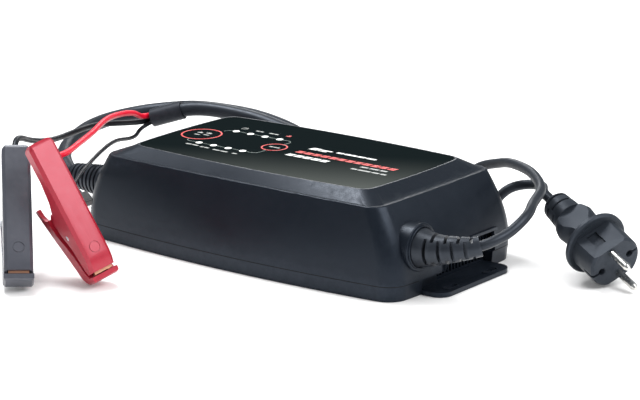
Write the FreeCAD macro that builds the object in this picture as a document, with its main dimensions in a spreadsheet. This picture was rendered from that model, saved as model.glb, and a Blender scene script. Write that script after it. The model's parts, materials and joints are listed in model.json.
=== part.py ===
import FreeCAD, Part
import math
import os
import Sketcher

# Car battery charger: two-part moulded housing with mounting ears, mains cord with plug,
# output cord with two insulated battery clamps and a temperature sensor.
# Frame: origin at the centre of the flat underside, +X towards the mains cord end,
# -Y the near long side, +Z up. Millimetres.

os.makedirs("parts", exist_ok=True)
doc = FreeCAD.newDocument("charger")
Vector = FreeCAD.Vector
Rotation = FreeCAD.Rotation
Placement = FreeCAD.Placement
Constraint = Sketcher.Constraint

# ---------------------------------------------------------------- driving dimensions

# Housing outlines: half length, half width, corner radius, bow of the ends, bow of the long sides
LEVELS = {
    "foot": (129.45, 65.05, 14.0, 2.4, 7.4),
    "part": (130.45, 66.05, 14.7, 2.4, 7.6),
    "lowr": (128.75, 66.4, 14.0, 2.2, 6.3),
    "uppr": (122.9, 65.2, 12.8, 1.7, 3.9),
    "edge": (114.65, 62.8, 11.2, 1.0, 1.0),
    "strip": (111.2, 60.6, 9.6, 1.2, 1.4),
    "plate": (97.9, 50.7, 9.0, 2.3, 4.2),
}
LEVEL_WORDS = ("len", "wid", "rad", "bowx", "bowy")
SIZES = {
    # heights of the outlines, walls and edges
    "part_z": 10.0, "lowr_z": 27.0, "uppr_z": 43.0, "edge_z": 58.4, "top_z": 65.0,
    "wall": 2.4, "base_wall": 2.6, "base_floor": 2.5, "edge_round": 1.6, "plate_round": 0.5,
    "label_thick": 0.5, "label_inset": 1.1, "label_gap": 0.15,
    # mounting ears and their slots
    "ear_thick": 3.0, "ear_reach": 148.0, "ear_half": 38.5, "ear_corner": 9.0,
    "slot_x": 141.7, "slot_y": 21.5, "slot_long": 12.0, "slot_wide": 4.5, "notch_face": 128.4,
    # screw bosses
    "mid_boss_y": 53.5, "boss_x": 103.0, "boss_y": 51.0, "boss_rad": 4.2, "screw_rad": 1.5,
    # keys and lights
    "mode_x": -80.0, "mode_y": -2.0, "mode_rad": 12.6, "key_gap": 0.3,
    "reset_x": -17.3, "reset_y": -0.8, "reset_rad": 7.6,
    "led_rad": 2.4, "led_gap": 0.1, "led_pitch": 12.7,
    "led_x": -66.1, "led_near_y": -20.8, "led_far_y": 17.9,
    # openings in the two ends
    "collar_y": -40.2, "collar_z": 31.5, "collar_rad": 15.5, "collar_face": 132.5,
    "collar_bore": 12.7, "vent_lo": -18.5, "vent_hi": 41.3, "vent_top": 24.0,
    "out_y": -39.0, "out_z": 31.0, "out_bore": 9.3,
    # cords and wires
    "mains_rad": 3.3, "out_rad": 5.1, "lead_rad": 2.0, "sense_rad": 1.4, "wire_rad": 1.1,
    "bore_gap": 0.08,
    # circuit boards
    "board_thick": 1.6, "board_z": 8.0, "board_len": 192.0, "board_wid": 90.0, "disp_z": 50.4,
    # battery clamps
    "clamp_wid": 18.4, "clamp_wall": 1.8, "lever_wid": 14.4, "rear_wid": 19.2,
    "pivot_y": 0.5, "pivot_z": 33.0, "pivot_rad": 1.75, "pivot_gap": 0.05,
    "jaw_wid": 13.0, "rear_jaw_wid": 11.4, "clamp_len": 96.0,
    # plug
    "pin_rad": 2.4, "shank_rad": 2.0, "pin_len": 19.0, "pin_space": 19.0,
    "head_rad": 17.65, "head_flat": 13.2, "flange_rad": 21.5,
    # fan
    "fan_side": 40.0, "fan_deep": 10.0, "fan_y": 11.4, "fan_z": 25.0, "fan_x": 110.2,
    "fan_bore": 18.6, "shaft_rad": 1.5, "shaft_gap": 0.05,
}


def as_text(value):
    return value.text if isinstance(value, Dim) else "(%r)" % float(value)


def operator(sign, operate):
    """The plain and the reflected method of one arithmetic sign."""
    def join(left, right):
        text = "(%s %s %s)" % (as_text(left), sign, as_text(right))
        return Dim(text, operate(float(left), float(right)))
    return join, lambda right, left: join(left, right)


class Dim:
    """A number together with the spreadsheet expression that gives it."""

    def __init__(self, text, value):
        self.text = text
        self.value = value

    def __float__(self):
        return self.value

    def __neg__(self):
        return -1 * self

    __add__, __radd__ = operator("+", float.__add__)
    __sub__, __rsub__ = operator("-", float.__sub__)
    __mul__, __rmul__ = operator("*", float.__mul__)
    __truediv__, __rtruediv__ = operator("/", float.__truediv__)


class Dims:
    """Holds one Dim for each alias of the sheet."""


dims = Dims()
sheet = doc.addObject("Spreadsheet::Sheet", "Sizes")
rows = [(key + "_" + word, value) for key, values in LEVELS.items()
        for word, value in zip(LEVEL_WORDS, values)]
for row, (alias, value) in enumerate(rows + list(SIZES.items()), 1):
    sheet.set("A%d" % row, alias)
    sheet.set("B%d" % row, str(value))
    sheet.setAlias("B%d" % row, alias)
    setattr(dims, alias, Dim("Sizes." + alias, float(value)))
doc.recompute()

# ---------------------------------------------------------------- document helpers

NODES = {}
name_count = 0
ALONG_X = Rotation(Vector(0, 1, 0), 90)


def node(obj, name):
    """Label a finished piece and list it for export."""
    obj.Label = name
    NODES[name] = obj


def unique(stem):
    global name_count
    name_count += 1
    return "%s%d" % (stem, name_count)


def bind(obj, prop, value):
    if isinstance(value, Dim):
        obj.setExpression(prop, value.text)
    else:
        setattr(obj, prop, value)


def near(value, target, tolerance=0.01):
    return abs(value - float(target)) < tolerance


def grid(xs, ys):
    return [(x, y) for x in xs for y in ys]


def turn_to(direction):
    return Rotation(Vector(0, 0, 1), direction)


def shift(x, y, z):
    return Placement(Vector(float(x), float(y), float(z)), Rotation())


# ---------------------------------------------------------------- plain solids

def solid(kind, name, placement=None, **values):
    obj = doc.addObject("Part::" + kind, name)
    for prop, value in values.items():
        bind(obj, prop, value)
    if placement:
        obj.Placement = placement
    return obj


def placed(kind, stem, spot, turn=None, **values):
    """A solid whose position may be bound to the sheet."""
    obj = solid(kind, unique(stem), **values)
    obj.Placement = Placement(Vector(*[float(value) for value in spot]), turn or Rotation())
    for axis, value in zip("xyz", spot):
        if isinstance(value, Dim):
            obj.setExpression("Placement.Base." + axis, value.text)
    return obj


def box(length, width, height, spot):
    """Box centred on spot in x and y, standing on its z."""
    x, y, z = spot
    corner = (x - length / 2, y - width / 2, z)
    return placed("Box", "Block", corner, Length=length, Width=width, Height=height)


def cyl(radius, height, spot, turn=None):
    return placed("Cylinder", "Round", spot, turn, Radius=radius, Height=height)


def fuse(*objs):
    joined = doc.addObject("Part::MultiFuse", unique("Joined"))
    joined.Shapes = list(objs)
    return joined


def cut(base, tool):
    trimmed = doc.addObject("Part::Cut", unique("Trimmed"))
    trimmed.Base = base
    trimmed.Tool = tool
    return trimmed


def common(first, second):
    shared = doc.addObject("Part::MultiCommon", unique("Shared"))
    shared.Shapes = [first, second]
    return shared


def group(*objs):
    compound = doc.addObject("Part::Compound", unique("Set"))
    compound.Links = list(objs)
    return compound


def rounded(obj, radius, pick):
    doc.recompute()
    picked = [i + 1 for i, edge in enumerate(obj.Shape.Edges) if pick(edge)]
    soft = doc.addObject("Part::Fillet", unique("Soft"))
    soft.Base = obj
    soft.Edges = [(i, radius, radius) for i in picked]
    return soft


# ---------------------------------------------------------------- sketches

def body(name):
    return doc.addObject("PartDesign::Body", name + "_body")


def sketch(part, offset=0.0, plane="XY"):
    """Sketch on an origin plane. XY and YZ face +Z and +X; XZ faces -Y, offset included."""
    support = next(f for f in part.Origin.OriginFeatures if f.Role == plane + "_Plane")
    outline = part.newObject("Sketcher::SketchObject", unique("Outline"))
    outline.AttachmentSupport = [(support, "")]
    outline.MapMode = "FlatFace"
    outline.AttachmentOffset = shift(0, 0, offset)
    if isinstance(offset, Dim):
        outline.setExpression(".AttachmentOffset.Base.z", offset.text)
    return outline


def measure(outline, kind, *args):
    """Add a dimension; the last argument is its value."""
    value = args[-1]
    index = outline.addConstraint(Constraint(kind, *args[:-1], float(value)))
    if isinstance(value, Dim):
        outline.setExpression("Constraints[%d]" % index, value.text)


def fix_point(outline, item, end, x, y):
    for kind, axis, value in (("DistanceX", -2, x), ("DistanceY", -1, y)):
        if abs(float(value)) < 1e-9:
            outline.addConstraint(Constraint("PointOnObject", item, end, axis))
        else:
            measure(outline, kind, -1, 1, item, end, value)


# Each drawing function returns its sketch, so that it can go straight into a pad or pocket.

def poly(outline, points):
    first = outline.GeometryCount
    count = len(points)
    corners = [Vector(float(x), float(y), 0) for x, y in points]
    for i in range(count):
        outline.addGeometry(Part.LineSegment(corners[i], corners[(i + 1) % count]), False)
    for i in range(count):
        following = first + (i + 1) % count
        outline.addConstraint(Constraint("Coincident", first + i, 2, following, 1))
    for i, (x, y) in enumerate(points):
        fix_point(outline, first + i, 1, x, y)
    return outline


def rect(outline, x0, x1, y0, y1):
    return poly(outline, [(x0, y0), (x1, y0), (x1, y1), (x0, y1)])


def circles(outline, spots, radius):
    for x, y in spots:
        ring = Part.Circle(Vector(float(x), float(y), 0), Vector(0, 0, 1), float(radius))
        item = outline.addGeometry(ring, False)
        measure(outline, "Radius", item, radius)
        fix_point(outline, item, 3, x, y)
    return outline


def add_arc(outline, x, y, radius, start, end):
    ring = Part.Circle(Vector(x, y, 0), Vector(0, 0, 1), radius)
    outline.addGeometry(Part.ArcOfCircle(ring, start, end), False)


def tangent_loop(outline, first, count):
    for i in range(count):
        following = first + (i + 1) % count
        outline.addConstraint(Constraint("Tangent", first + i, 2, following, 1))


def stadiums(outline, spots, half, radius):
    """Slots running along Y: two end arcs and two sides each."""
    reach, rad = float(half), float(radius)
    for x, y in spots:
        first = outline.GeometryCount
        cx, cy = float(x), float(y)
        top, bottom = cy + reach, cy - reach
        add_arc(outline, cx, top, rad, 0, math.pi)
        outline.addGeometry(
            Part.LineSegment(Vector(cx - rad, top, 0), Vector(cx - rad, bottom, 0)), False)
        add_arc(outline, cx, bottom, rad, math.pi, 2 * math.pi)
        outline.addGeometry(
            Part.LineSegment(Vector(cx + rad, bottom, 0), Vector(cx + rad, top, 0)), False)
        tangent_loop(outline, first, 4)
        measure(outline, "Radius", first, radius)
        fix_point(outline, first, 3, x, y + half)
        fix_point(outline, first + 2, 3, x, y - half)
    return outline


def bowed(outline, key, inset=0):
    """Rounded rectangle with bowed sides: four side arcs and four corner arcs, all tangent."""
    first = outline.GeometryCount
    length, width, corner, bow_x, bow_y = [getattr(dims, key + "_" + w) for w in LEVEL_WORDS]
    length = length - inset
    width = width - inset
    corner = corner - inset / 2
    side_radius = (length * length + bow_y * bow_y) / (2 * bow_y)
    end_radius = (width * width + bow_x * bow_x) / (2 * bow_x)
    side_centre = width + bow_y - side_radius
    end_centre = length + bow_x - end_radius
    side_rad, end_rad, corner_rad = float(side_radius), float(end_radius), float(corner)
    side_y, end_x = float(side_centre), float(end_centre)

    # centre of the +X +Y corner arc: where the two side arcs, less its radius, cross
    side_reach, end_reach = side_rad - corner_rad, end_rad - corner_rad
    dist = math.hypot(end_x, side_y)
    ux, uy = end_x / dist, -side_y / dist
    along = (side_reach ** 2 - end_reach ** 2 + dist ** 2) / (2 * dist)
    off = math.sqrt(max(side_reach ** 2 - along ** 2, 0))
    x, y = max(((along * ux - sign * off * uy, side_y + along * uy + sign * off * ux)
                for sign in (1, -1)), key=sum)
    from_side = math.atan2(y - side_y, x)
    from_end = math.atan2(y, x - end_x)

    pi = math.pi
    add_arc(outline, end_x, 0, end_rad, -from_end, from_end)
    add_arc(outline, x, y, corner_rad, from_end, from_side)
    add_arc(outline, 0, side_y, side_rad, from_side, pi - from_side)
    add_arc(outline, -x, y, corner_rad, pi - from_side, pi - from_end)
    add_arc(outline, -end_x, 0, end_rad, pi - from_end, pi + from_end)
    add_arc(outline, -x, -y, corner_rad, pi + from_end, pi + from_side)
    add_arc(outline, 0, -side_y, side_rad, pi + from_side, 2 * pi - from_side)
    add_arc(outline, x, -y, corner_rad, 2 * pi - from_side, 2 * pi - from_end)
    tangent_loop(outline, first, 8)
    for item, sign in ((first, 1), (first + 4, -1)):
        outline.addConstraint(Constraint("PointOnObject", item, 3, -1))
        measure(outline, "Radius", item, end_radius)
        measure(outline, "DistanceX", -1, 1, item, 3, sign * end_centre)
    for item, sign in ((first + 2, 1), (first + 6, -1)):
        outline.addConstraint(Constraint("PointOnObject", item, 3, -2))
        measure(outline, "Radius", item, side_radius)
        measure(outline, "DistanceY", -1, 1, item, 3, sign * side_centre)
    for item in (1, 3, 5, 7):
        measure(outline, "Radius", first + item, corner)
    return outline


# ---------------------------------------------------------------- body features

def extrude(part, kind, outline, length, rev, mid):
    feature = part.newObject("PartDesign::" + kind, unique(kind))
    feature.Profile = outline
    bind(feature, "Length", length)
    feature.Reversed = rev
    if mid:
        # the name of this property depends on the FreeCAD version
        if hasattr(feature, "SideType"):
            feature.SideType = "Symmetric"
        else:
            feature.Midplane = True
    doc.recompute()


def pad(part, outline, length, rev=False, mid=False):
    extrude(part, "Pad", outline, length, rev, mid)


def pocket(part, outline, length, rev=False, mid=False):
    before = part.Shape.Volume
    extrude(part, "Pocket", outline, length, rev, mid)
    if not part.Shape.Volume < before - 1e-3:
        raise RuntimeError("pocket cut nothing: %s in %s" % (part.Tip.Name, part.Name))


def loft(part, outlines, sub=False, ruled=False):
    kind = "SubtractiveLoft" if sub else "AdditiveLoft"
    feature = part.newObject("PartDesign::" + kind, unique("Loft"))
    feature.Profile = outlines[0]
    feature.Sections = outlines[1:]
    feature.Ruled = ruled
    feature.Closed = False
    doc.recompute()


def revolve(part, outline, axis):
    turned = part.newObject("PartDesign::Revolution", unique("Turned"))
    turned.Profile = outline
    turned.ReferenceAxis = (outline, [axis])
    turned.Angle = 360
    doc.recompute()


def soften(part, amount, pick, kind="Fillet"):
    tip = part.Tip
    names = ["Edge%d" % (i + 1) for i, edge in enumerate(tip.Shape.Edges) if pick(edge)]
    if not names:
        raise RuntimeError("no edges picked in " + part.Name)
    feature = part.newObject("PartDesign::" + kind, unique("Softened"))
    feature.Base = (tip, names)
    bind(feature, "Size" if kind == "Chamfer" else "Radius", amount)
    doc.recompute()
    # the piece keeps its sharp edges where the fillet or chamfer can't be built
    if "Invalid" in feature.State or feature.Shape.isNull() or not feature.Shape.isValid():
        part.removeObject(feature)
        doc.removeObject(feature.Name)
        part.Tip = tip
        doc.recompute()


def lies_at(axis, value):
    """Picks edges lying flat at one value of an axis."""
    def pick(edge):
        bounds = edge.BoundBox
        return (near(getattr(bounds, axis + "Min"), value)
                and near(getattr(bounds, axis + "Max"), value))
    return pick


# ---------------------------------------------------------------- shared places

SIDES = (1, -1)
SCREWS = grid((dims.boss_x, -dims.boss_x), (dims.boss_y, -dims.boss_y)) + [
    (0.0, dims.mid_boss_y), (0.0, -dims.mid_boss_y)]
LEDS = [(dims.led_x + i * dims.led_pitch, y)
        for y in (dims.led_near_y, dims.led_far_y) for i in range(4)]
KEYS = [("mode", dims.mode_x, dims.mode_y, dims.mode_rad),
        ("reset", dims.reset_x, dims.reset_y, dims.reset_rad)]
BOARD_POSTS = grid((-88.0, 88.0), (-37.0, 37.0))
DISPLAY_POSTS = grid((-93.0, -3.0), (-31.0, 31.0))
BOARD_TOP = dims.board_z + dims.board_thick
DISPLAY_TOP = dims.disp_z + dims.board_thick
FAN_HOLE = 16   # y and z distance of the fan's screw holes from its axis


def fan_bosses(part, dz, length, depth):
    """Two bored bosses that meet the fan frame, at height dz from its axis."""
    spots = [(dims.fan_y + dy, dims.fan_z + dz) for dy in (-FAN_HOLE, FAN_HOLE)]
    pad(part, circles(sketch(part, 120.3, "YZ"), spots, 3.4), length)
    pocket(part, circles(sketch(part, 119.0, "YZ"), spots, 1.65), depth, rev=True)


def panel_openings(outline):
    """Openings for the keys and light pipes."""
    for _, x, y, radius in KEYS:
        circles(outline, [(x, y)], radius + dims.key_gap)
    return circles(outline, LEDS, dims.led_rad + dims.led_gap)


# ---------------------------------------------------------------- base shell

base = body("base")
foot = bowed(sketch(base), "foot")
rim = bowed(sketch(base, dims.part_z), "part")
loft(base, [foot, rim], ruled=True)
foot = bowed(sketch(base, dims.base_floor), "foot", dims.base_wall)
rim = bowed(sketch(base, dims.part_z), "part", dims.base_wall)
loft(base, [foot, rim], sub=True, ruled=True)
# thicker wall behind the ear recesses
for side in SIDES:
    outline = rect(sketch(base, 1.0), side * 125.7, side * 130.3,
                   -dims.ear_half - 4, dims.ear_half + 4)
    pad(base, outline, dims.part_z - 1.01)
# ears
for side in SIDES:
    outline = rect(sketch(base), side * 126.0, side * dims.ear_reach,
                   -dims.ear_half, dims.ear_half)
    pad(base, outline, dims.ear_thick)
for side in SIDES:
    outline = rect(sketch(base, dims.ear_thick), side * dims.notch_face, side * 160.0,
                   -dims.ear_half + 0.02, dims.ear_half - 0.02)
    pocket(base, outline, 12.0, rev=True)
soften(base, dims.ear_corner, lambda edge: edge.Length < 4
       and near(abs(edge.CenterOfMass.x), dims.ear_reach, 0.1)
       and near(abs(edge.CenterOfMass.y), dims.ear_half, 0.1))
# raised rims and slots
slot_spots = grid((dims.slot_x, -dims.slot_x), (dims.slot_y, -dims.slot_y))
slot_half = (dims.slot_long - dims.slot_wide) / 2
pad(base, stadiums(sketch(base, dims.ear_thick - 0.1), slot_spots, slot_half,
                   dims.slot_wide / 2 + 1.1), 0.5)
pocket(base, stadiums(sketch(base), slot_spots, slot_half, dims.slot_wide / 2), 8.0, rev=True)
# screw bosses and board posts
post_foot = dims.base_floor - 0.2
pad(base, circles(sketch(base, post_foot), SCREWS, dims.boss_rad + 0.9), 9.7)
pad(base, circles(sketch(base, post_foot), BOARD_POSTS, 3.6),
    dims.board_z - dims.base_floor + 0.2)
pocket(base, circles(sketch(base, dims.base_floor + 0.4), BOARD_POSTS, 1.3), 8.0, rev=True)
pocket(base, circles(sketch(base), SCREWS, dims.screw_rad + 0.25), 14.0, rev=True)
pocket(base, circles(sketch(base), SCREWS, 3.3), 4.0, rev=True)
# intake opening through the end wall, down to the ear
outline = rect(sketch(base, dims.ear_thick), 124.0, 140.0, dims.vent_lo, dims.vent_hi - 3.0)
pocket(base, outline, 12.0, rev=True)
node(base, "base_shell")

# ---------------------------------------------------------------- top cover

cover = body("cover")
heights = {"part": dims.part_z, "lowr": dims.lowr_z, "uppr": dims.uppr_z, "edge": dims.edge_z}
loft(cover, [bowed(sketch(cover, z), key) for key, z in heights.items()])
# the raised top starts from the strip outline; this first sketch only marks its root
bowed(sketch(cover, dims.edge_z - 0.5), "strip")
strip = bowed(sketch(cover, dims.edge_z), "strip")
plate = bowed(sketch(cover, dims.top_z), "plate")
loft(cover, [strip, plate], ruled=True)


def on_outer_edge(edge):
    """Picks the outer outline at the edge level, and not the strip inside it."""
    x, y = abs(edge.CenterOfMass.x), abs(edge.CenterOfMass.y)
    return lies_at("Z", dims.edge_z)(edge) and (x > 112.6 or y > 61.9 or (x > 109.5 and y > 58.2))


soften(cover, dims.edge_round, on_outer_edge)
soften(cover, dims.plate_round, lies_at("Z", dims.top_z))
# hollow
heights["edge"] = dims.edge_z - dims.wall
loft(cover, [bowed(sketch(cover, z), key, dims.wall) for key, z in heights.items()], sub=True)
strip = bowed(sketch(cover, dims.edge_z - dims.wall - 0.4), "strip", dims.wall + 0.4)
plate = bowed(sketch(cover, dims.top_z - dims.wall), "plate", dims.wall - 1.0)
loft(cover, [strip, plate], sub=True, ruled=True)
# collar for the mains cord
collar = [(dims.collar_y, dims.collar_z)]
pad(cover, circles(sketch(cover, 118.0, "YZ"), collar, dims.collar_rad), dims.collar_face - 118)
soften(cover, 0.9, lies_at("X", dims.collar_face))
pocket(cover, circles(sketch(cover, 100.0, "YZ"), collar, dims.collar_bore), 50.0, rev=True)
# output cord boss and bore
outlet = [(dims.out_y, dims.out_z)]
OUT_FACE = -132.2
pad(cover, circles(sketch(cover, OUT_FACE, "YZ"), outlet, 12.2), 11.6)
soften(cover, 0.7, lies_at("X", OUT_FACE))
pocket(cover, circles(sketch(cover, -140.0, "YZ"), outlet, dims.out_bore), 40.0, rev=True)
# hood over the intake opening, then the opening
pad(cover, rect(sketch(cover, 125.6, "YZ"), dims.vent_lo - 1.6, dims.vent_hi + 1.6,
                dims.vent_top - 0.4, dims.vent_top + 1.8), 7.0)
pocket(cover, rect(sketch(cover, 118.6, "YZ"), dims.vent_lo, dims.vent_hi,
                   5.0, dims.vent_top), 22.0, rev=True)
fan_bosses(cover, FAN_HOLE, 2.8, 4.0)
# outlet slots in the output end
outline = sketch(cover, -140.0, "YZ")
for i in range(7):
    rect(outline, -12.0 + 8.0 * i, -8.6 + 8.0 * i, 15.0, 29.0)
pocket(cover, outline, 20.0, rev=True)
# screw bosses
pad(cover, circles(sketch(cover, 12.0), SCREWS[:4], dims.boss_rad), 47.4)
pad(cover, circles(sketch(cover, 12.0), SCREWS[4:], dims.boss_rad), 48.6)
pocket(cover, circles(sketch(cover, 10.0), SCREWS, dims.screw_rad + 0.05), 20.0, rev=True)
# posts for the display board
pad(cover, circles(sketch(cover, DISPLAY_TOP), DISPLAY_POSTS, 3.4), 11.4)
pocket(cover, circles(sketch(cover, dims.disp_z), DISPLAY_POSTS, 1.05), 9.0, rev=True)
# seat for the label and openings for keys and light pipes
pocket(cover, bowed(sketch(cover, dims.top_z), "plate", dims.label_inset), dims.label_thick)
pocket(cover, panel_openings(sketch(cover, dims.top_z + 5)), 12.0)
node(cover, "top_cover")

# ---------------------------------------------------------------- label overlay

label = body("label")
outline = bowed(sketch(label, dims.top_z - dims.label_thick), "plate",
                dims.label_inset + dims.label_gap)
pad(label, panel_openings(outline), dims.label_thick)
node(label, "label_overlay")

# ---------------------------------------------------------------- keys, switches, lights

for name, x, y, radius in KEYS:
    key = body(name + "_key")
    pad(key, circles(sketch(key, dims.top_z), [(x, y)], radius), 4.0, rev=True)
    pad(key, circles(sketch(key, dims.top_z - 4), [(x, y)], radius + 1.4), 1.2)
    pad(key, circles(sketch(key, 57.5), [(x, y)], 2.6), 4.0)
    soften(key, 0.35, lies_at("Z", dims.top_z))
    node(key, name + "_key")
    node(cyl(1.6, 2.6, (x, y, 54.9)), name + "_switch_plunger")

node(group(*[cut(box(6.2, 6.2, 3.5, (x, y, DISPLAY_TOP)), cyl(1.7, 5.0, (x, y, 54.2)))
             for _, x, y, _ in KEYS]), "switch_bodies")
node(group(*[fuse(cyl(dims.led_rad, 11.6, (x, y, 53.4)), cyl(3.3, 1.2, (x, y, 61.2)))
             for x, y in LEDS]), "led_light_pipes")
node(group(*[box(3.0, 2.0, 1.2, (x, y, DISPLAY_TOP)) for x, y in LEDS]), "status_leds")

# ---------------------------------------------------------------- display board

display = body("display_board")
outline = rect(sketch(display, dims.disp_z), -98.0, 2.0, -35.0, 35.0)
pad(display, circles(outline, DISPLAY_POSTS, 1.2), dims.board_thick)
node(display, "display_board")
node(group(*[fuse(cyl(1.0, 8.0, (x, y, dims.disp_z)), cyl(2.0, 1.4, (x, y, dims.disp_z - 1.4)))
             for x, y in DISPLAY_POSTS]), "display_screws")

# ribbon down to the main board, side outline (x, z)
RIBBON = [(-12.0, 50.4), (-12.0, 47.0), (-4.0, 43.0), (-4.0, 12.6), (-1.0, 12.6), (-1.0, 9.6),
          (-4.5, 9.6), (-4.5, 11.8), (-4.9, 12.4), (-4.9, 42.5), (-12.9, 46.5), (-12.9, 50.4)]
ribbon = body("display_ribbon")
pad(ribbon, poly(sketch(ribbon, 0.0, "XZ"), RIBBON), 16.0, mid=True)
node(ribbon, "display_ribbon")

# ---------------------------------------------------------------- main board

board = body("main_board")
outline = rect(sketch(board, dims.board_z), -dims.board_len / 2, dims.board_len / 2,
               -dims.board_wid / 2, dims.board_wid / 2)
pad(board, circles(outline, BOARD_POSTS, 1.6), dims.board_thick)
node(board, "main_board")
node(group(*[fuse(cyl(1.25, 6.0, (x, y, BOARD_TOP - 6)), cyl(2.6, 2.0, (x, y, BOARD_TOP)))
             for x, y in BOARD_POSTS]), "board_screws")

# ---------------------------------------------------------------- transformer

TRAFO_X, TRAFO_Y = 22.0, -2.0
WINDOW_YS = (-14.2, 10.2)


def trafo_box(length, width, height, rise, y=TRAFO_Y):
    return box(length, width, height, (TRAFO_X, y, BOARD_TOP + rise))


# two E halves, with a thin gap between them, closed round a bobbin
core = cut(trafo_box(44.0, 38.0, 30.0, 3),
           fuse(*[trafo_box(50.0, 9.6, 21.0, 7.5, y) for y in WINDOW_YS]))
core = cut(core, box(0.15, 60.0, 60.0, (TRAFO_X, TRAFO_Y, 5.0)))
node(core, "transformer_core")
winding = cut(trafo_box(29.0, 32.0, 20.0, 8), trafo_box(40.0, 15.2, 31.0, 2.5))
winding = common(winding, fuse(*[trafo_box(29.0, 9.0, 20.6, 7.7, y) for y in WINDOW_YS]))
node(winding, "transformer_winding")
node(group(*[box(5.0, 26.0, 3.0, (TRAFO_X + dx, TRAFO_Y, BOARD_TOP)) for dx in (-17.0, 17.0)]),
     "transformer_feet")

# ---------------------------------------------------------------- other board parts


def capacitor(radius, height, x, y):
    """Can with a groove round it near the foot."""
    can = cyl(radius, height, (x, y, BOARD_TOP))
    ring = placed("Torus", "Ring", (x, y, BOARD_TOP + 3.0), Radius1=radius, Radius2=0.5)
    return cut(can, cut(ring, cyl(radius - 0.45, 8.0, (x, y, BOARD_TOP))))


node(group(*[capacitor(11.0, 32.0, 66.0, y) for y in (-24.0, 1.0)]), "bulk_capacitors")
node(group(*[capacitor(6.3, 24.0, -76.0, y) for y in (-24.0, -8.0, 8.0)]), "output_capacitors")


def heatsink(x, y, length, fins):
    """Upright plate with fins on the side away from the board's middle."""
    fin_y = y + (5.6 if y > 0 else -5.6)
    first = x - length / 2.0 + 1.5
    return fuse(box(length, 3.0, 34.0, (x, y, BOARD_TOP)),
                *[box(1.5, 9.4, 34.0, (first + i * (length - 3.0) / (fins - 1), fin_y, BOARD_TOP))
                  for i in range(fins)])


SINK_Y = 32.0
node(heatsink(20.0, SINK_Y, 70.0, 12), "primary_heatsink")
node(heatsink(-40.0, -SINK_Y, 62.0, 11), "secondary_heatsink")


def semiconductor(x, sink_y):
    """Tab, case and three legs, on the inner face of a heatsink."""
    inward = -1 if sink_y > 0 else 1
    face = sink_y + inward * 1.5
    case_y = face + inward * 2.2
    return fuse(box(10.4, 1.3, 15.6, (x, face + inward * 0.65, 24.0)),
                box(10.4, 4.4, 9.6, (x, case_y, 24.0)),
                *[box(0.9, 0.6, 14.8, (x + dx, case_y, 9.6)) for dx in (0.0, -2.54, 2.54)])


node(group(*[semiconductor(x, SINK_Y) for x in (0.0, 20.0, 40.0)],
           *[semiconductor(x, -SINK_Y) for x in (-56.0, -40.0, -24.0)]), "power_semiconductors")
node(cut(cyl(12.0, 11.0, (86.0, -14.0, BOARD_TOP + 13), ALONG_X),
         cyl(6.0, 20.0, (82.0, -14.0, BOARD_TOP + 13), ALONG_X)), "line_filter_choke")
node(box(13.0, 6.0, 12.0, (88.0, 8.0, BOARD_TOP)), "film_capacitor")
FUSE_X, FUSE_Y = 80.0, 22.0
node(cyl(2.6, 20.0, (FUSE_X, FUSE_Y, BOARD_TOP + 5), ALONG_X), "mains_fuse")
node(group(*[box(3.0, 6.4, 2.35, (FUSE_X + dx, FUSE_Y, BOARD_TOP)) for dx in (2.0, 18.0)]),
     "fuse_clips")
node(box(4.6, 22.0, 16.0, (47.0, -24.0, BOARD_TOP)), "bridge_rectifier")
choke = cut(cyl(13.0, 12.0, (-48.0, 10.0, BOARD_TOP + 0.2)), cyl(6.0, 20.0, (-48.0, 10.0, 5.0)))
node(rounded(choke, 2.2, lambda edge: edge.Curve.TypeId == "Part::GeomCircle"
             and edge.Curve.Radius > 12), "output_choke")
node(group(*[box(12.0, 9.0, 10.0, (-90.0, y, BOARD_TOP)) for y in (22.0, -22.0)]),
     "output_terminals")

# ---------------------------------------------------------------- fan and grille

FAN_HOLES = grid((-FAN_HOLE, FAN_HOLE), (-FAN_HOLE, FAN_HOLE))


def fan_cyl(radius, length, dx=0, dy=0, dz=0):
    """Cylinder along X, placed from the frame's inner face on the fan's axis."""
    return cyl(radius, length, (dims.fan_x + dx, dims.fan_y + dy, dims.fan_z + dz), ALONG_X)


def fan_arm(stem, dx, angle, placement, length, width, height):
    """Box turned round the fan's axis."""
    name = unique(stem)
    hub = Placement(shift(dims.fan_x + dx, dims.fan_y, dims.fan_z).Base,
                    Rotation(Vector(1, 0, 0), angle))
    return solid("Box", name, hub * placement, Length=length, Width=width, Height=height)


frame = box(dims.fan_deep, dims.fan_side, dims.fan_side,
            (dims.fan_x + dims.fan_deep / 2, dims.fan_y, dims.fan_z - dims.fan_side / 2))
frame = cut(frame, fan_cyl(dims.fan_bore, 30.0, -10))
hub_plate = fan_cyl(9.0, 1.6)
shaft = fan_cyl(dims.shaft_rad, 7.8)
struts = [fan_arm("Strut", 0, 45 + 90 * i, shift(0, 7.0, -0.9), 1.6, 13.0, 1.8)
          for i in range(4)]
frame = fuse(frame, hub_plate, shaft, *struts)
holes = fuse(*[fan_cyl(1.7, 30.0, -10, dy, dz) for dy, dz in FAN_HOLES])
node(cut(frame, holes), "fan_frame")

rotor_hub = cut(fan_cyl(8.6, 6.6, 2), fan_cyl(dims.shaft_rad + dims.shaft_gap, 7.0, 1))
pitched = Placement(Vector(0, 7.6, 0), Rotation(Vector(0, 1, 0), 52)) * shift(-0.45, 0, -3.5)
blades = [fan_arm("Blade", 5.2, 360.0 * i / 7, pitched, 0.9, 10.2, 7.0) for i in range(7)]
node(fuse(rotor_hub, *blades), "fan_rotor")

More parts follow.
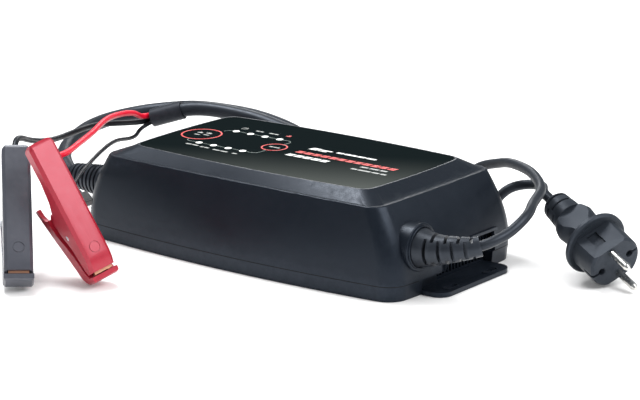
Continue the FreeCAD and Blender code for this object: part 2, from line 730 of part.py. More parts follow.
# grille: plate with upright slots, standing on the floor behind the opening
grille = body("vent_grille")
pad(grille, rect(sketch(grille, 123.0, "YZ"), dims.vent_lo - 3, dims.vent_hi + 3,
                 dims.base_floor, dims.vent_top + 3.5), 1.8)
outline = sketch(grille, 121.0, "YZ")
for i in range(17):
    rect(outline, -17.9 + 3.55 * i, -15.6 + 3.55 * i, 4.4, dims.vent_top - 0.6)
pocket(grille, outline, 8.0, rev=True)
fan_bosses(grille, -FAN_HOLE, 4.3, 4.6)
node(grille, "vent_grille")
node(group(*[fuse(fan_cyl(1.6, 14.4, -2, dy, dz), fan_cyl(2.9, 1.6, -1.6, dy, dz))
             for dy, dz in FAN_HOLES]), "fan_screws")

# ---------------------------------------------------------------- housing screws


def housing_screw(x, y):
    """Shank up from a head with a cross recess in its underside."""
    cross = fuse(box(4.0, 0.9, 1.1, (x, y, 1.9)), box(0.9, 4.0, 1.1, (x, y, 1.9)))
    head = cut(cyl(3.0, 2.0, (x, y, 2.0)), cross)
    return fuse(cyl(dims.screw_rad, 22.0, (x, y, 4.0)), head)


node(group(*[housing_screw(x, y) for x, y in SCREWS]), "housing_screws")

# ---------------------------------------------------------------- sweeps along cords


def unit(x, y, z):
    direction = Vector(x, y, z)
    direction.normalize()
    return direction


def arc_edge(start, apex, end):
    """One arc from start, leaving towards apex, to end; apex is equally far from both."""
    middle = (start + end) * 0.5
    rise = apex - middle
    half = (end - start).Length / 2
    if rise.Length < 1e-6 * max(half, 1.0):
        return Part.LineSegment(start, end).toShape()
    height = half * math.tan(math.atan2(rise.Length, half) / 2)
    return Part.Arc(start, middle + unit(*rise) * height, end).toShape()


def arc_chain(curve, params):
    """Tangent arcs, two for each step, that follow the curve."""
    edges = []
    for low, high in zip(params, params[1:]):
        start, end = curve.value(low), curve.value(high)
        leave, arrive = curve.tangent(low)[0], curve.tangent(high)[0]
        chord = end - start
        # both arcs share one tangent length, the positive root of a quadratic
        square = 2 * leave.dot(arrive) - 2
        linear = -2 * chord.dot(leave + arrive)
        constant = chord.dot(chord)
        if abs(square) < 1e-9:
            reach = -constant / linear
        else:
            root = math.sqrt(linear * linear - 4 * square * constant)
            roots = ((-linear + root) / (2 * square), (-linear - root) / (2 * square))
            reach = min(value for value in roots if value > 0)
        apex_in, apex_out = start + leave * reach, end - arrive * reach
        joint = (apex_in + apex_out) * 0.5
        edges += [arc_edge(start, apex_in, joint), arc_edge(joint, apex_out, end)]
    return edges


def ring_section(radius, centre, direction, stem="Section"):
    return solid("Circle", unique(stem), Placement(centre, turn_to(direction)), Radius=radius)


def sweep_along(section, spine):
    run = doc.addObject("Part::Sweep", unique("Run"))
    run.Sections = [section]
    run.Spine = (spine, ["Edge%d" % (i + 1) for i in range(len(spine.Shape.Edges))])
    run.Solid = True
    run.Frenet = True
    return run


def sweep(points, radius, ends=None, span=None):
    """Round run through the points; ends are its tangents, span limits it to a stretch."""
    curve = Part.BSplineCurve()
    knots = [Vector(*point) for point in points]
    if ends:
        curve.interpolate(Points=knots, InitialTangent=Vector(*ends[0]),
                          FinalTangent=Vector(*ends[1]))
    else:
        curve.interpolate(Points=knots)
    marks = [curve.parameter(knot) for knot in knots]
    low, high = marks[0], marks[-1]
    if span:
        low, high = [curve.parameter(Vector(*point)) for point in span]
    steps = []
    for here, after in zip(marks, marks[1:]):
        if here < low - 1e-9 or after > high + 1e-9:
            continue
        steps.append(here)
        # a step that turns far or is long is halved
        turn = curve.tangent(here)[0].getAngle(curve.tangent(after)[0])
        if turn >= 0.21 or (curve.value(after) - curve.value(here)).Length >= 16.0:
            steps.append((here + after) / 2)
    steps.append(high)
    route = doc.addObject("Part::Feature", unique("Route"))
    route.Shape = Part.Wire(arc_chain(curve, steps))
    run = sweep_along(ring_section(radius, curve.value(low), curve.tangent(low)[0]), route)
    run.Transition = "Transformed"
    doc.recompute()
    return run, curve


# ---------------------------------------------------------------- mains cord

# plug frame: origin in the plug's face, Z along the pins, X towards an earth opening,
# Y along the pin spacing
PIN_AXIS = unit(0.8787, -0.3634, -0.3088)
EARTH_AXIS = unit(0.4737, 0.7407, 0.4763)
SPACING_AXIS = PIN_AXIS.cross(EARTH_AXIS)
PLUG_FACE = Vector(222.0, 43.5, 17.5)
PLUG = Placement(PLUG_FACE, Rotation(EARTH_AXIS, SPACING_AXIS, PIN_AXIS, "ZXY"))

# centre line (x, y, z), from inside the housing to inside the plug
MAINS = [
    (112.0, -40.2, 31.5), (122.0, -40.2, 31.5), (133.0, -40.2, 31.5), (146.0, -39.3, 32.1),
    (158.5, -35.6, 33.9), (169.5, -29.0, 36.2), (175.1, -22.0, 39.0), (178.5, -14.0, 41.9),
    (181.3, -4.0, 47.0), (179.5, 9.0, 51.0), (174.5, 20.0, 52.5), (169.7, 32.0, 53.5),
    (164.4, 44.5, 55.0), (153.4, 57.6, 57.0), (140.0, 69.0, 58.0), (124.6, 79.0, 57.5),
    (108.6, 88.0, 55.3), (96.1, 94.0, 51.6), (84.1, 99.0, 47.6), (72.4, 103.0, 41.6),
    (64.6, 104.5, 33.4), (61.6, 103.0, 22.0), (64.5, 98.0, 11.5), (74.0, 90.5, 5.4),
    (87.0, 84.0, 8.0), (97.0, 82.0, 17.5), (103.0, 84.2, 29.0), (109.5, 89.0, 37.0),
    (118.0, 92.5, 40.6), (128.5, 92.0, 42.6), (139.0, 85.5, 44.2),
] + [tuple(PLUG_FACE + PIN_AXIS * along) for along in (-84.0, -76.0, -69.0, -62.0)]
mains_run, mains_curve = sweep(MAINS, dims.mains_rad)
node(mains_run, "mains_cable")

# Strain relief: round sections threaded on the cord's line, bored, with slits that alternate
# between the sides and the top and bottom. Stations (x, radius).
RELIEF_STATIONS = [(133.2, 12.55), (137.0, 11.6), (145.0, 9.9), (155.0, 8.3), (163.0, 7.2),
                   (169.3, 6.5)]
SLIT_XS = (140.5, 144.3, 148.3, 152.0, 155.6, 159.0, 162.4, 165.6)
relief_end = mains_curve.parameter(Vector(*MAINS[5])) + 0.2


def cord_at(x):
    """Point and direction of the mains cord where it first reaches x."""
    low, high = mains_curve.FirstParameter, relief_end
    for _ in range(60):
        middle = (low + high) / 2
        if mains_curve.value(middle).x < x:
            low = middle
        else:
            high = middle
    return mains_curve.value(low), mains_curve.tangent(low)[0]


sections = []
for x, radius in RELIEF_STATIONS:
    point, direction = cord_at(x)
    if x <= 134:
        # the first section lies square in the collar
        point = Vector(x, float(dims.collar_y), float(dims.collar_z))
        direction = Vector(1, 0, 0)
    sections.append(ring_section(radius, point, direction))
tail = doc.addObject("Part::Loft", "ReliefTail")
tail.Sections = sections
tail.Solid = True
tail.Ruled = False
(root_x, root_rad), (tip_x, tip_rad) = RELIEF_STATIONS[0], RELIEF_STATIONS[-1]
relief_root = fuse(cyl(root_rad, 17.2, (116.0, dims.collar_y, dims.collar_z), ALONG_X),
                   cyl(14.2, 3.0, (114.8, dims.collar_y, dims.collar_z), ALONG_X))
slits = []
for i, x in enumerate(SLIT_XS):
    point, direction = cord_at(x)
    radius = root_rad + (tip_rad - root_rad) * (x - root_x) / (tip_x - root_x)
    sideways = unit(*Vector(0, 0, 1).cross(direction))
    axis = sideways if i % 2 == 0 else direction.cross(sideways)
    for side in SIDES:
        outward = axis * side
        across = outward.cross(direction)
        corner = (point + outward * max(radius * 0.56, 4.1) - direction * 1.05
                  - across * (radius * 0.725))
        slits.append(solid("Box", unique("Slit"),
                           Placement(corner, Rotation(direction, across, outward, "ZXY")),
                           Length=2.1, Width=radius * 1.45, Height=radius))
bore, _ = sweep(MAINS, dims.mains_rad + dims.bore_gap, span=(MAINS[0], MAINS[6]))
node(cut(fuse(cut(tail, fuse(*slits)), relief_root), bore), "mains_strain_relief")

# ---------------------------------------------------------------- output cord

# centre line (x, y, z), from inside the housing to the split sleeve
OUT = [
    (-112.0, -39.0, 31.0), (-124.0, -39.0, 31.0), (-140.0, -39.0, 31.0), (-156.0, -39.0, 31.0),
    (-167.0, -38.2, 31.9), (-178.5, -32.8, 35.2), (-190.0, -22.5, 38.2), (-199.5, -9.0, 40.2),
    (-207.2, 8.0, 42.3), (-211.2, 26.0, 44.9), (-210.0, 44.0, 47.1), (-204.0, 60.0, 48.8),
    (-193.9, 72.0, 50.7), (-181.5, 80.0, 52.5), (-166.6, 85.0, 54.5), (-150.0, 88.0, 55.5),
    (-132.8, 90.0, 55.5), (-115.0, 91.5, 54.9), (-97.4, 92.5, 52.9), (-80.0, 94.5, 48.6),
    (-66.0, 97.0, 42.0), (-55.0, 98.5, 32.0), (-50.0, 96.5, 21.0), (-46.0, 91.0, 15.0),
    (-38.0, 85.5, 15.5), (-33.0, 82.5, 23.0), (-34.5, 80.0, 33.0), (-43.0, 78.0, 43.0),
    (-58.1, 77.0, 50.8), (-75.2, 76.0, 54.6), (-92.5, 75.0, 57.7), (-110.0, 74.0, 59.3),
    (-126.8, 72.0, 60.2), (-142.2, 68.0, 60.3), (-153.9, 63.0, 58.8), (-164.0, 58.45, 55.4),
]
node(sweep(OUT, dims.out_rad)[0], "output_cable")

# relief: bellows turned about the cord's straight length, with a collar held inside the wall
RIBS, RIB_PITCH = 8, 3.85
profile = [(-115.0, 4.6), (-115.0, 12.0), (-117.8, 12.0), (-117.8, 9.2), (-132.5, 9.2),
           (-132.5, 11.2)]
for i in range(RIBS):
    x = -134.0 - RIB_PITCH * i
    radius = 11.4 - 0.4 * i
    profile += [(x, radius), (x - 1.9, radius - 0.1), (x - 2.3, radius - 1.7),
                (x - 3.4, radius - 1.7)]
x = -134.0 - RIB_PITCH * RIBS
profile += [(x, 7.6), (x - 1.0, 7.2), (x - 1.0, 4.6)]
relief = body("output_strain_relief")
outline = poly(sketch(relief, -dims.out_y, "XZ"),
               [(x, radius + dims.out_z) for x, radius in profile])
axis_z = float(dims.out_z)
axis_line = outline.addGeometry(
    Part.LineSegment(Vector(-170, axis_z, 0), Vector(-110, axis_z, 0)), True)
outline.addConstraint(Constraint("Horizontal", axis_line))
measure(outline, "DistanceY", -1, 1, axis_line, 1, dims.out_z)
measure(outline, "DistanceX", -1, 1, axis_line, 1, -170.0)
measure(outline, "DistanceX", -1, 1, axis_line, 2, -110.0)
revolve(relief, outline, "Axis0")
bore, _ = sweep(OUT, dims.out_rad + dims.bore_gap, span=(OUT[0], OUT[6]))
node(cut(relief, bore), "output_strain_relief")

# ---------------------------------------------------------------- split sleeve

SLEEVE_START, SLEEVE_END = Vector(*OUT[-2]), Vector(-174.6, 53.7, 51.8)
sleeve_len = (SLEEVE_END - SLEEVE_START).Length
sleeve_dir = unit(*(SLEEVE_END - SLEEVE_START))


def sleeve_cyl(name, radius, height, along):
    placement = Placement(SLEEVE_START + sleeve_dir * along, turn_to(sleeve_dir))
    return solid("Cylinder", name, placement, Radius=radius, Height=height)


tube = sleeve_cyl("SleeveOuter", 6.6, sleeve_len, 0.0)
bend, _ = sweep(OUT, dims.out_rad + 0.12, span=(OUT[-4], OUT[-1]))
sleeve_bore = sleeve_cyl("SleeveBore", 5.35, sleeve_len, 8.0)
mouth_bore = sleeve_cyl("SleeveMouth", 5.25, 12.0, -1.0)
node(cut(tube, fuse(sleeve_bore, mouth_bore, bend)), "cable_split_sleeve")

# ---------------------------------------------------------------- leads and sensor

sleeve_up = unit(*(Vector(0, 0, 1) - sleeve_dir * sleeve_dir.z))
sleeve_across = sleeve_up.cross(sleeve_dir)


def sleeve_points(up, across):
    """The first three points of a lead, inside the sleeve and at its end."""
    return [tuple(SLEEVE_END + sleeve_dir * along + sleeve_up * up + sleeve_across * across)
            for along in (-10.5, -5.0, 0.0)]


def clamp_frame(z_dir, y_hint, origin):
    """Clamp frame: jaw tips near z = 0, levers towards +Z, front lever on the -Y side."""
    up = unit(*z_dir)
    rear = unit(*y_hint)
    rear = unit(*(rear - up * rear.dot(up)))
    return Placement(Vector(*origin), Rotation(rear.cross(up), rear, up, "ZXY"))


BLACK = clamp_frame((-0.4787, 0.4923, 0.7270), (-0.5585, 0.4682, -0.6847),
                    (-74.03, -187.16, 5.24))
RED = clamp_frame((-0.4625, -0.1321, 0.8767), (-0.8518, 0.3407, -0.3979),
                  (-41.54, -144.23, 4.58))

# free runs (x, y, z), and entries into the front lever in the clamp's (y, z)
POSITIVE = [
    (-177.2, 45.5, 54.2), (-174.6, 36.0, 58.0), (-168.2, 12.0, 63.3), (-155.5, -16.0, 66.6),
    (-136.0, -50.0, 67.5), (-118.0, -84.0, 68.5), (-103.5, -110.0, 70.5), (-94.5, -129.8, 73.4),
    (-88.6, -144.0, 76.2),
]
POSITIVE_ENTRY = ((-0.6, 84.0), (-4.8, 77.0))
NEGATIVE = [
    (-180.3, 30.0, 51.8), (-181.2, 5.0, 55.4), (-177.2, -20.0, 57.0), (-171.7, -45.1, 57.6),
    (-163.3, -66.5, 61.0), (-154.7, -85.7, 66.0), (-146.4, -102.4, 71.6), (-138.8, -116.0, 76.3),
    (-133.7, -124.8, 77.3), (-129.6, -130.3, 75.2), (-125.4, -134.9, 72.1),
]
NEGATIVE_ENTRY = ((3.0, 92.3), (-0.8, 86.0), (-4.4, 79.0))
CHANNEL = ((-5.9, 68.0), (-5.9, 56.0), (-5.9, 43.0))
SENSOR = [
    (-177.2, 43.0, 45.0), (-174.0, 35.0, 43.0), (-171.1, 25.0, 43.0), (-166.8, 10.0, 45.6),
    (-159.7, -8.0, 47.1), (-152.5, -25.0, 46.3), (-141.4, -48.0, 44.8), (-127.2, -72.0, 44.6),
    (-114.9, -90.0, 44.9), (-104.7, -102.0, 45.7), (-95.5, -108.0, 45.8), (-89.0, -110.2, 43.4),
]


def lead(points, frame, entry, name):
    """Lead ending in the channel of a front lever."""
    ending = [tuple(frame.multVec(Vector(0, y, z))) for y, z in entry + CHANNEL]
    node(sweep(points + ending, dims.lead_rad)[0], name)


lead(sleeve_points(2.4, 0.3) + POSITIVE, RED, POSITIVE_ENTRY, "positive_lead")
lead(sleeve_points(-1.6, -1.6) + NEGATIVE, BLACK, NEGATIVE_ENTRY, "negative_lead")
sensor_run, sensor_curve = sweep(sleeve_points(-2.5, 2.5) + SENSOR, dims.sense_rad)
node(sensor_run, "sensor_lead")

lead_end = sensor_curve.value(sensor_curve.LastParameter)
lead_dir = sensor_curve.tangent(sensor_curve.LastParameter)[0]
block = solid("Box", "SensorBlock",
              Placement(lead_end - lead_dir * 2.0, turn_to(lead_dir)) * shift(-3.0, -3.5, 0),
              Length=6.0, Width=7.0, Height=9.0)
block_bore = solid("Cylinder", "SensorBore",
                   Placement(lead_end - lead_dir * 3.0, turn_to(lead_dir)),
                   Radius=1.5, Height=3.0)
node(cut(rounded(block, 1.2, lambda edge: True), block_bore), "temperature_sensor")

# ---------------------------------------------------------------- inner wires

# from each cord's cut end to the board
wires = []
for dy in (-1.5, 1.5):
    points = [(111.9, -40.2 + dy, 31.5), (110.4, -40.2 + dy, 31.5), (107.0, -40.0 + dy, 30.9),
              (100.5, -37.6 + dy * 1.4, 26.6), (94.4, -33.6 + dy * 1.4, 18.0),
              (92.5, -31.8 + dy * 1.6, 12.0), (92.4, -31.7 + dy * 1.6, 9.7)]
    wires.append(sweep(points, dims.wire_rad, ends=((-1, 0, 0), (0, 0, -1)))[0])
node(group(*wires), "mains_wires")
wires = []
# columns: height from the cord's centre, y from it, y half way, y of the terminal
for dz, dy, middle_y, terminal_y in ((2.4, -1.2, -33.0, -22.0), (-2.4, 1.6, -20.0, 22.0)):
    points = [(-111.5, -39.0 + dy, 31.0 + dz), (-110.0, -39.0 + dy, 31.0 + dz),
              (-107.3, -38.2 + dy, 31.0 + dz), (-102.5, middle_y, 29.6 + dz),
              (-94.5, terminal_y * 0.98, 27.4), (-90.1, terminal_y, 22.9),
              (-90.0, terminal_y, 20.1)]
    wires.append(sweep(points, 1.8)[0])
node(group(*wires), "output_wires")

# ---------------------------------------------------------------- plug

# turned outline (radius, z), from the cord end to the face at z = 0
PLUG_PROFILE = [
    (3.45, -71.0), (8.4, -71.0), (9.4, -69.6), (10.4, -58.0), (10.6, -52.5), (12.8, -50.5),
    (13.9, -46.5), (13.4, -42.0), (11.2, -37.5), (10.4, -33.5), (12.0, -29.5), (16.0, -26.2),
    (dims.flange_rad - 1.0, -25.6), (dims.flange_rad, -24.6), (dims.flange_rad, -22.6),
    (dims.flange_rad - 0.9, -21.7), (dims.head_rad + 0.35, -21.5), (dims.head_rad, -1.4),
    (dims.head_rad - 1.4, 0.0), (3.45, 0.0),
]
plug = body("plug")
revolve(plug, poly(sketch(plug, 0.0, "XZ"), PLUG_PROFILE), "V_Axis")
pad(plug, circles(sketch(plug, -61.0), [(0.0, 0.0)], 6.0), 61.0)
# flats on the head, with rectangular recesses
for side in SIDES:
    pocket(plug, rect(sketch(plug, 1.0), -30.0, 30.0, side * dims.head_flat, side * 30.0), 22.2)
    pocket(plug, rect(sketch(plug, -19.4), -6.0, 1.4, side * (dims.head_flat - 1.6),
                      side * 30.0), 12.0, rev=True)
# grip: flattened towards the pin-spacing direction
for side in SIDES:
    pocket(plug, rect(sketch(plug, -28.4), -30.0, 30.0, side * 9.2, side * 40.0), 23.0)
# earth openings with slots to the rim
EARTH_X = 10.6
pocket(plug, circles(sketch(plug, 2.0), [(EARTH_X, 0.0), (-EARTH_X, 0.0)], 2.5), 16.0)
outline = sketch(plug, 2.0)
for side in SIDES:
    rect(outline, side * EARTH_X, side * 19.0, -0.85, 0.85)
pocket(plug, outline, 12.0)
# finger dimples
pocket(plug, circles(sketch(plug, -8.4, "XZ"), [(-3.4, -36.0), (3.4, -36.0)], 0.8), 6.0,
       rev=True)
# relief slots at the cord end, in turn across Y and across X
for i, z in enumerate((-67.5, -64.0, -60.5, -57.0)):
    for side in SIDES:
        outer = (side * 5.6, side * 14.0)
        spans = (-6.6, 6.6) + outer if i % 2 == 0 else outer + (-6.6, 6.6)
        pocket(plug, rect(sketch(plug, z), *spans), 1.5)
pin_spots = [(0.0, side * dims.pin_space / 2) for side in SIDES]
pocket(plug, circles(sketch(plug, 1.0), pin_spots, dims.shank_rad), 19.0)
plug.Placement = PLUG
bore, _ = sweep(MAINS, dims.mains_rad + dims.bore_gap, span=(MAINS[-5], MAINS[-1]))
node(cut(plug, bore), "plug_body")

TIP_LEN = 2.6
pins = []
for x, y in pin_spots:
    tip = placed("Cone", "Taper", (0, 0, dims.pin_len - TIP_LEN),
                 Radius1=dims.pin_rad, Radius2=1.3, Height=TIP_LEN)
    pin = fuse(cyl(dims.shank_rad, 19.0, (0, 0, -18.0)),
               cyl(dims.pin_rad, dims.pin_len - TIP_LEN - 0.4, (0, 0, 0.4)), tip)
    pin.Placement = PLUG * shift(x, y, 0)
    pins.append(pin)
node(group(*pins), "plug_pins")

# ---------------------------------------------------------------- clamps

# side outlines in the clamp's (y, z)
FRONT_OUTER = [
    (-3.2, 6.0), (-8.4, 6.5), (-10.2, 10.5), (-11.2, 16.0), (-11.2, dims.clamp_len - 3.5),
    (-9.2, dims.clamp_len), (-3.6, dims.clamp_len), (-1.6, dims.clamp_len - 3), (-2.2, 72.0),
    (0.5, 58.0), (4.5, 50.5), (8.0, 44.0), (6.5, 36.0), (2.0, 26.0), (-1.2, 10.0),
]
FRONT_CHANNEL = [
    (-7.2, -1.0), (-7.3, 8.0), (-8.7, 12.5), (-9.4, 18.0), (-9.4, dims.clamp_len - 4.2),
    (-8.0, dims.clamp_len - 1.8), (20.0, dims.clamp_len - 1.8), (20.0, -1.0),
]
REAR_BACK = [
    (-7.9, 4.0), (-7.2, 0.9), (-5.6, 0.0), (3.0, 0.0), (8.0, 4.0), (13.0, 18.0), (20.5, 38.0),
    (24.5, 50.0), (25.0, 56.5), (22.2, 57.0), (20.6, 52.0), (17.5, 48.4), (14.6, 48.2),
]
REAR_CORE = REAR_BACK + [
    (11.0, 51.0), (5.5, 47.0), (-3.5, 39.0), (-3.3, 28.5), (-0.2, 24.5), (-0.9, 19.0),
    (-2.2, 9.0), (-2.6, 4.2),
]
REAR_WIDE = REAR_BACK + [
    (14.2, 44.0), (12.4, 38.0), (9.6, 32.0), (6.2, 26.0), (3.4, 20.0), (0.2, 9.8), (-2.6, 4.2),
]
REAR_HOLLOW = [
    (-7.0, 1.9), (2.4, 1.9), (6.4, 5.2), (11.2, 18.6), (18.0, 37.0), (19.2, 42.0), (16.6, 45.8),
    (12.5, 46.4), (10.3, 47.8), (6.8, 45.4), (-2.0, 44.0), (-14.0, 40.0), (-14.0, 5.0),
    (-7.0, 5.0),
]
THUMB_GAP = [(15.2, 46.6), (19.4, 47.8), (28.0, 47.8), (28.0, 60.0), (12.0, 60.0), (12.0, 46.6)]
FRONT_JAW_BACK = [
    (-7.0, 4.7), (-7.1, 8.0), (-8.55, 12.6), (-9.3, 18.2), (-9.3, 46.0), (-8.1, 46.0),
    (-8.1, 26.0), (-4.5, 23.8),
]
FRONT_JAW_HOLLOW = [(-5.9, 3.0), (-6.0, 8.2), (-7.45, 12.8), (-8.1, 18.4), (-8.1, 30.0),
                    (5.0, 30.0), (5.0, 3.0)]
REAR_JAW_BACK = [(-3.6, 2.0), (2.2, 2.0), (6.1, 5.4), (11.0, 18.8), (12.7, 23.5), (11.2, 24.0),
                 (1.4, 23.6)]
REAR_JAW_HOLLOW = [(-5.0, 3.2), (1.8, 3.2), (5.1, 6.0), (9.85, 19.2), (11.6, 25.0),
                   (-5.0, 25.0)]
TEETH, TEETH_TOP, TEETH_END, TOOTH_DROP = 8, 22.6, 5.6, 1.06


def teeth(root, tip):
    """Saw line down one jaw; root and tip are y distances from the slanting closing line."""
    def closing_y(z):
        return -3.2 + 0.13 * (z - 5.0)

    points = []
    for i in range(TEETH):
        z = TEETH_TOP - i * (TEETH_TOP - TEETH_END) / TEETH
        low = z - TOOTH_DROP
        points += [(closing_y(z) + root, z), (closing_y(low) + tip, low)]
    return points + [(closing_y(TEETH_END) + root, TEETH_END)]


def side_sketch(part, points):
    return poly(sketch(part, 0.0, "YZ"), points)


def pivot_hole(part):
    hole = circles(sketch(part, -15.0, "YZ"), [(dims.pivot_y, dims.pivot_z)],
                   dims.pivot_rad + dims.pivot_gap)
    pocket(part, hole, 30.0, rev=True)


def front_shell(prefix, frame):
    """Front lever: a channel open to the rear."""
    half = float(dims.clamp_wid) / 2
    shell = body(prefix + "front")
    pad(shell, side_sketch(shell, FRONT_OUTER), dims.clamp_wid, mid=True)

    def on_front_edge(edge):
        middle = edge.CenterOfMass
        return near(abs(middle.x), half) and middle.y < -7.5 and 8.0 < middle.z < 95.0

    soften(shell, 2.1, on_front_edge, "Chamfer")
    # round the two upper corners
    corner, top = 4.4, float(dims.clamp_len)
    outline = sketch(shell, -30.0, "XZ")
    for side in SIDES:
        arc = []
        for i in range(9):
            angle = math.radians(11.25 * i)
            arc.append((side * (half - corner + corner * math.sin(angle)),
                        top - corner + corner * math.cos(angle)))
        poly(outline, arc + [(side * 13.0, top - corner), (side * 13.0, top + 3.0),
                             (side * (half - corner), top + 3.0)])
    pocket(shell, outline, 60.0, rev=True)
    pocket(shell, side_sketch(shell, FRONT_CHANNEL), dims.clamp_wid - 2 * dims.clamp_wall,
           mid=True)
    pivot_hole(shell)
    # round moulding mark on the front face
    outline = sketch(shell, 11.2, "XZ")
    for radius in (3.8, 3.35):
        circles(outline, [(0.0, 21.0)], radius)
    pocket(shell, outline, 0.35)
    shell.Placement = frame
    node(shell, prefix + "clamp_front_shell")


def rear_shell(prefix, frame):
    """Rear lever: narrow core between the front cheeks, full width outside them."""
    shell = body(prefix + "rear")
    pad(shell, side_sketch(shell, REAR_CORE), dims.lever_wid, mid=True)
    pad(shell, side_sketch(shell, REAR_WIDE), dims.rear_wid, mid=True)

    def on_back_edge(edge):
        x, y, z = edge.CenterOfMass
        return near(abs(x), dims.rear_wid / 2) and (
            (z < 0.2 and y < 4) or (y > 5 and abs(z - 2.0) < 0.2) or (y > 10.4 and z < 12)
            or (y > 16.7 and z < 29) or (y > 22 and z < 45))

    soften(shell, 1.3, on_back_edge, "Chamfer")
    pocket(shell, side_sketch(shell, REAR_HOLLOW), 11.8, mid=True)
    # opening between the two thumb ears
    pocket(shell, side_sketch(shell, THUMB_GAP), dims.rear_wid - 5.4, mid=True)
    pivot_hole(shell)
    shell.Placement = frame
    node(shell, prefix + "clamp_rear_shell")


def jaw(prefix, frame, which, outer, width, hollow, hollow_width):
    part = body(prefix + which + "_jaw")
    pad(part, side_sketch(part, outer), width, mid=True)
    pocket(part, side_sketch(part, hollow), hollow_width, mid=True)
    part.Placement = frame
    node(part, prefix + "clamp_" + which + "_jaw")


def pivot(prefix, frame):
    pin = cyl(dims.pivot_rad, dims.clamp_wid - 0.4, (0, 0, 0), ALONG_X)
    start = shift(-dims.clamp_wid / 2 + 0.2, dims.pivot_y, dims.pivot_z)
    pin.Placement = frame * start * Placement(Vector(0, 0, 0), ALONG_X)
    node(pin, prefix + "clamp_pivot")


def spring(prefix, frame):
    """Torsion spring: coil round the pivot with a leg on each lever."""
    pitch, turns, coil_rad, wire = 1.6, 4.303, 3.1, 0.6
    around = 2 * math.pi * coil_rad
    coil = solid("Helix", unique("Coil"), Pitch=pitch, Height=pitch * turns, Radius=coil_rad)
    start = Vector(coil_rad, 0, 0)
    section = ring_section(wire, start, Vector(0, around, pitch), "Wire")
    doc.recompute()
    run = sweep_along(section, coil)
    first_leg = cyl(wire, 11.5, start, turn_to(Vector(0, -around, -pitch)))
    angle = 2 * math.pi * turns
    end = (coil_rad * math.cos(angle), coil_rad * math.sin(angle), pitch * turns)
    leave = Vector(-around * math.sin(angle), around * math.cos(angle), pitch)
    joined = fuse(run, first_leg, cyl(wire, 15.5, end, turn_to(leave)))
    turn = Rotation(Vector(0, -0.907, -0.42), Vector(0, 0.42, -0.907), Vector(1, 0, 0), "ZXY")
    centre = Vector(-3.44, float(dims.pivot_y), float(dims.pivot_z))
    joined.Placement = frame * Placement(centre, turn)
    node(joined, prefix + "clamp_spring")


front_jaw_outer = FRONT_JAW_BACK + teeth(-1.25, -0.1) + [(-4.2, 4.7)]
rear_jaw_outer = REAR_JAW_BACK + teeth(1.35, 0.15) + [(-3.0, 4.6)]
for prefix, frame in (("black_", BLACK), ("red_", RED)):
    front_shell(prefix, frame)
    rear_shell(prefix, frame)
    jaw(prefix, frame, "front", front_jaw_outer, dims.jaw_wid, FRONT_JAW_HOLLOW, 10.6)
    jaw(prefix, frame, "rear", rear_jaw_outer, dims.rear_jaw_wid, REAR_JAW_HOLLOW, 9.0)
    pivot(prefix, frame)
    spring(prefix, frame)

# ---------------------------------------------------------------- checks and export

doc.recompute()
bad = [obj.Name + " state " + str(obj.State) for obj in doc.Objects
       if "Invalid" in obj.State or "Error" in obj.State]
for name, obj in NODES.items():
    shape = obj.Shape
    if shape.isNull() or not shape.isValid() or shape.Volume <= 0 or not shape.Solids:
        bad.append(name + " shape")
if bad:
    raise RuntimeError("not exported: " + "; ".join(bad))
for name, obj in NODES.items():
    obj.Shape.exportStep("parts/%s.step" % name)
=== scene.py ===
import bpy
import bmesh
import json
import math
import random
import numpy as np
from mathutils import Matrix, Vector


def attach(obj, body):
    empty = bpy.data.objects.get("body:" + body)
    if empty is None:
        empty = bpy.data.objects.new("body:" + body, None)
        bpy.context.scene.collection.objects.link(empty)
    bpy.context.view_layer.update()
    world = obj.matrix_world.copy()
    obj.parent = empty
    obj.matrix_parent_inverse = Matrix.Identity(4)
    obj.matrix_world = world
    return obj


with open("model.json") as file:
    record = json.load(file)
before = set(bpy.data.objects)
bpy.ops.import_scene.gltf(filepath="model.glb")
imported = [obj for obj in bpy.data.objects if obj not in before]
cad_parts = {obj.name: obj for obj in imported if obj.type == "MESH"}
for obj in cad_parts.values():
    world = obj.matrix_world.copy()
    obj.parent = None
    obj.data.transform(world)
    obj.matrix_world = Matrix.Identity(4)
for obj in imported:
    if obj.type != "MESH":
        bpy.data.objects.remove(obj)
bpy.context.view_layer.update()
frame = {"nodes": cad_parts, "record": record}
NODES = frame["nodes"]
scene = bpy.context.scene
MM = 0.001

# ---------------------------------------------------------------- materials


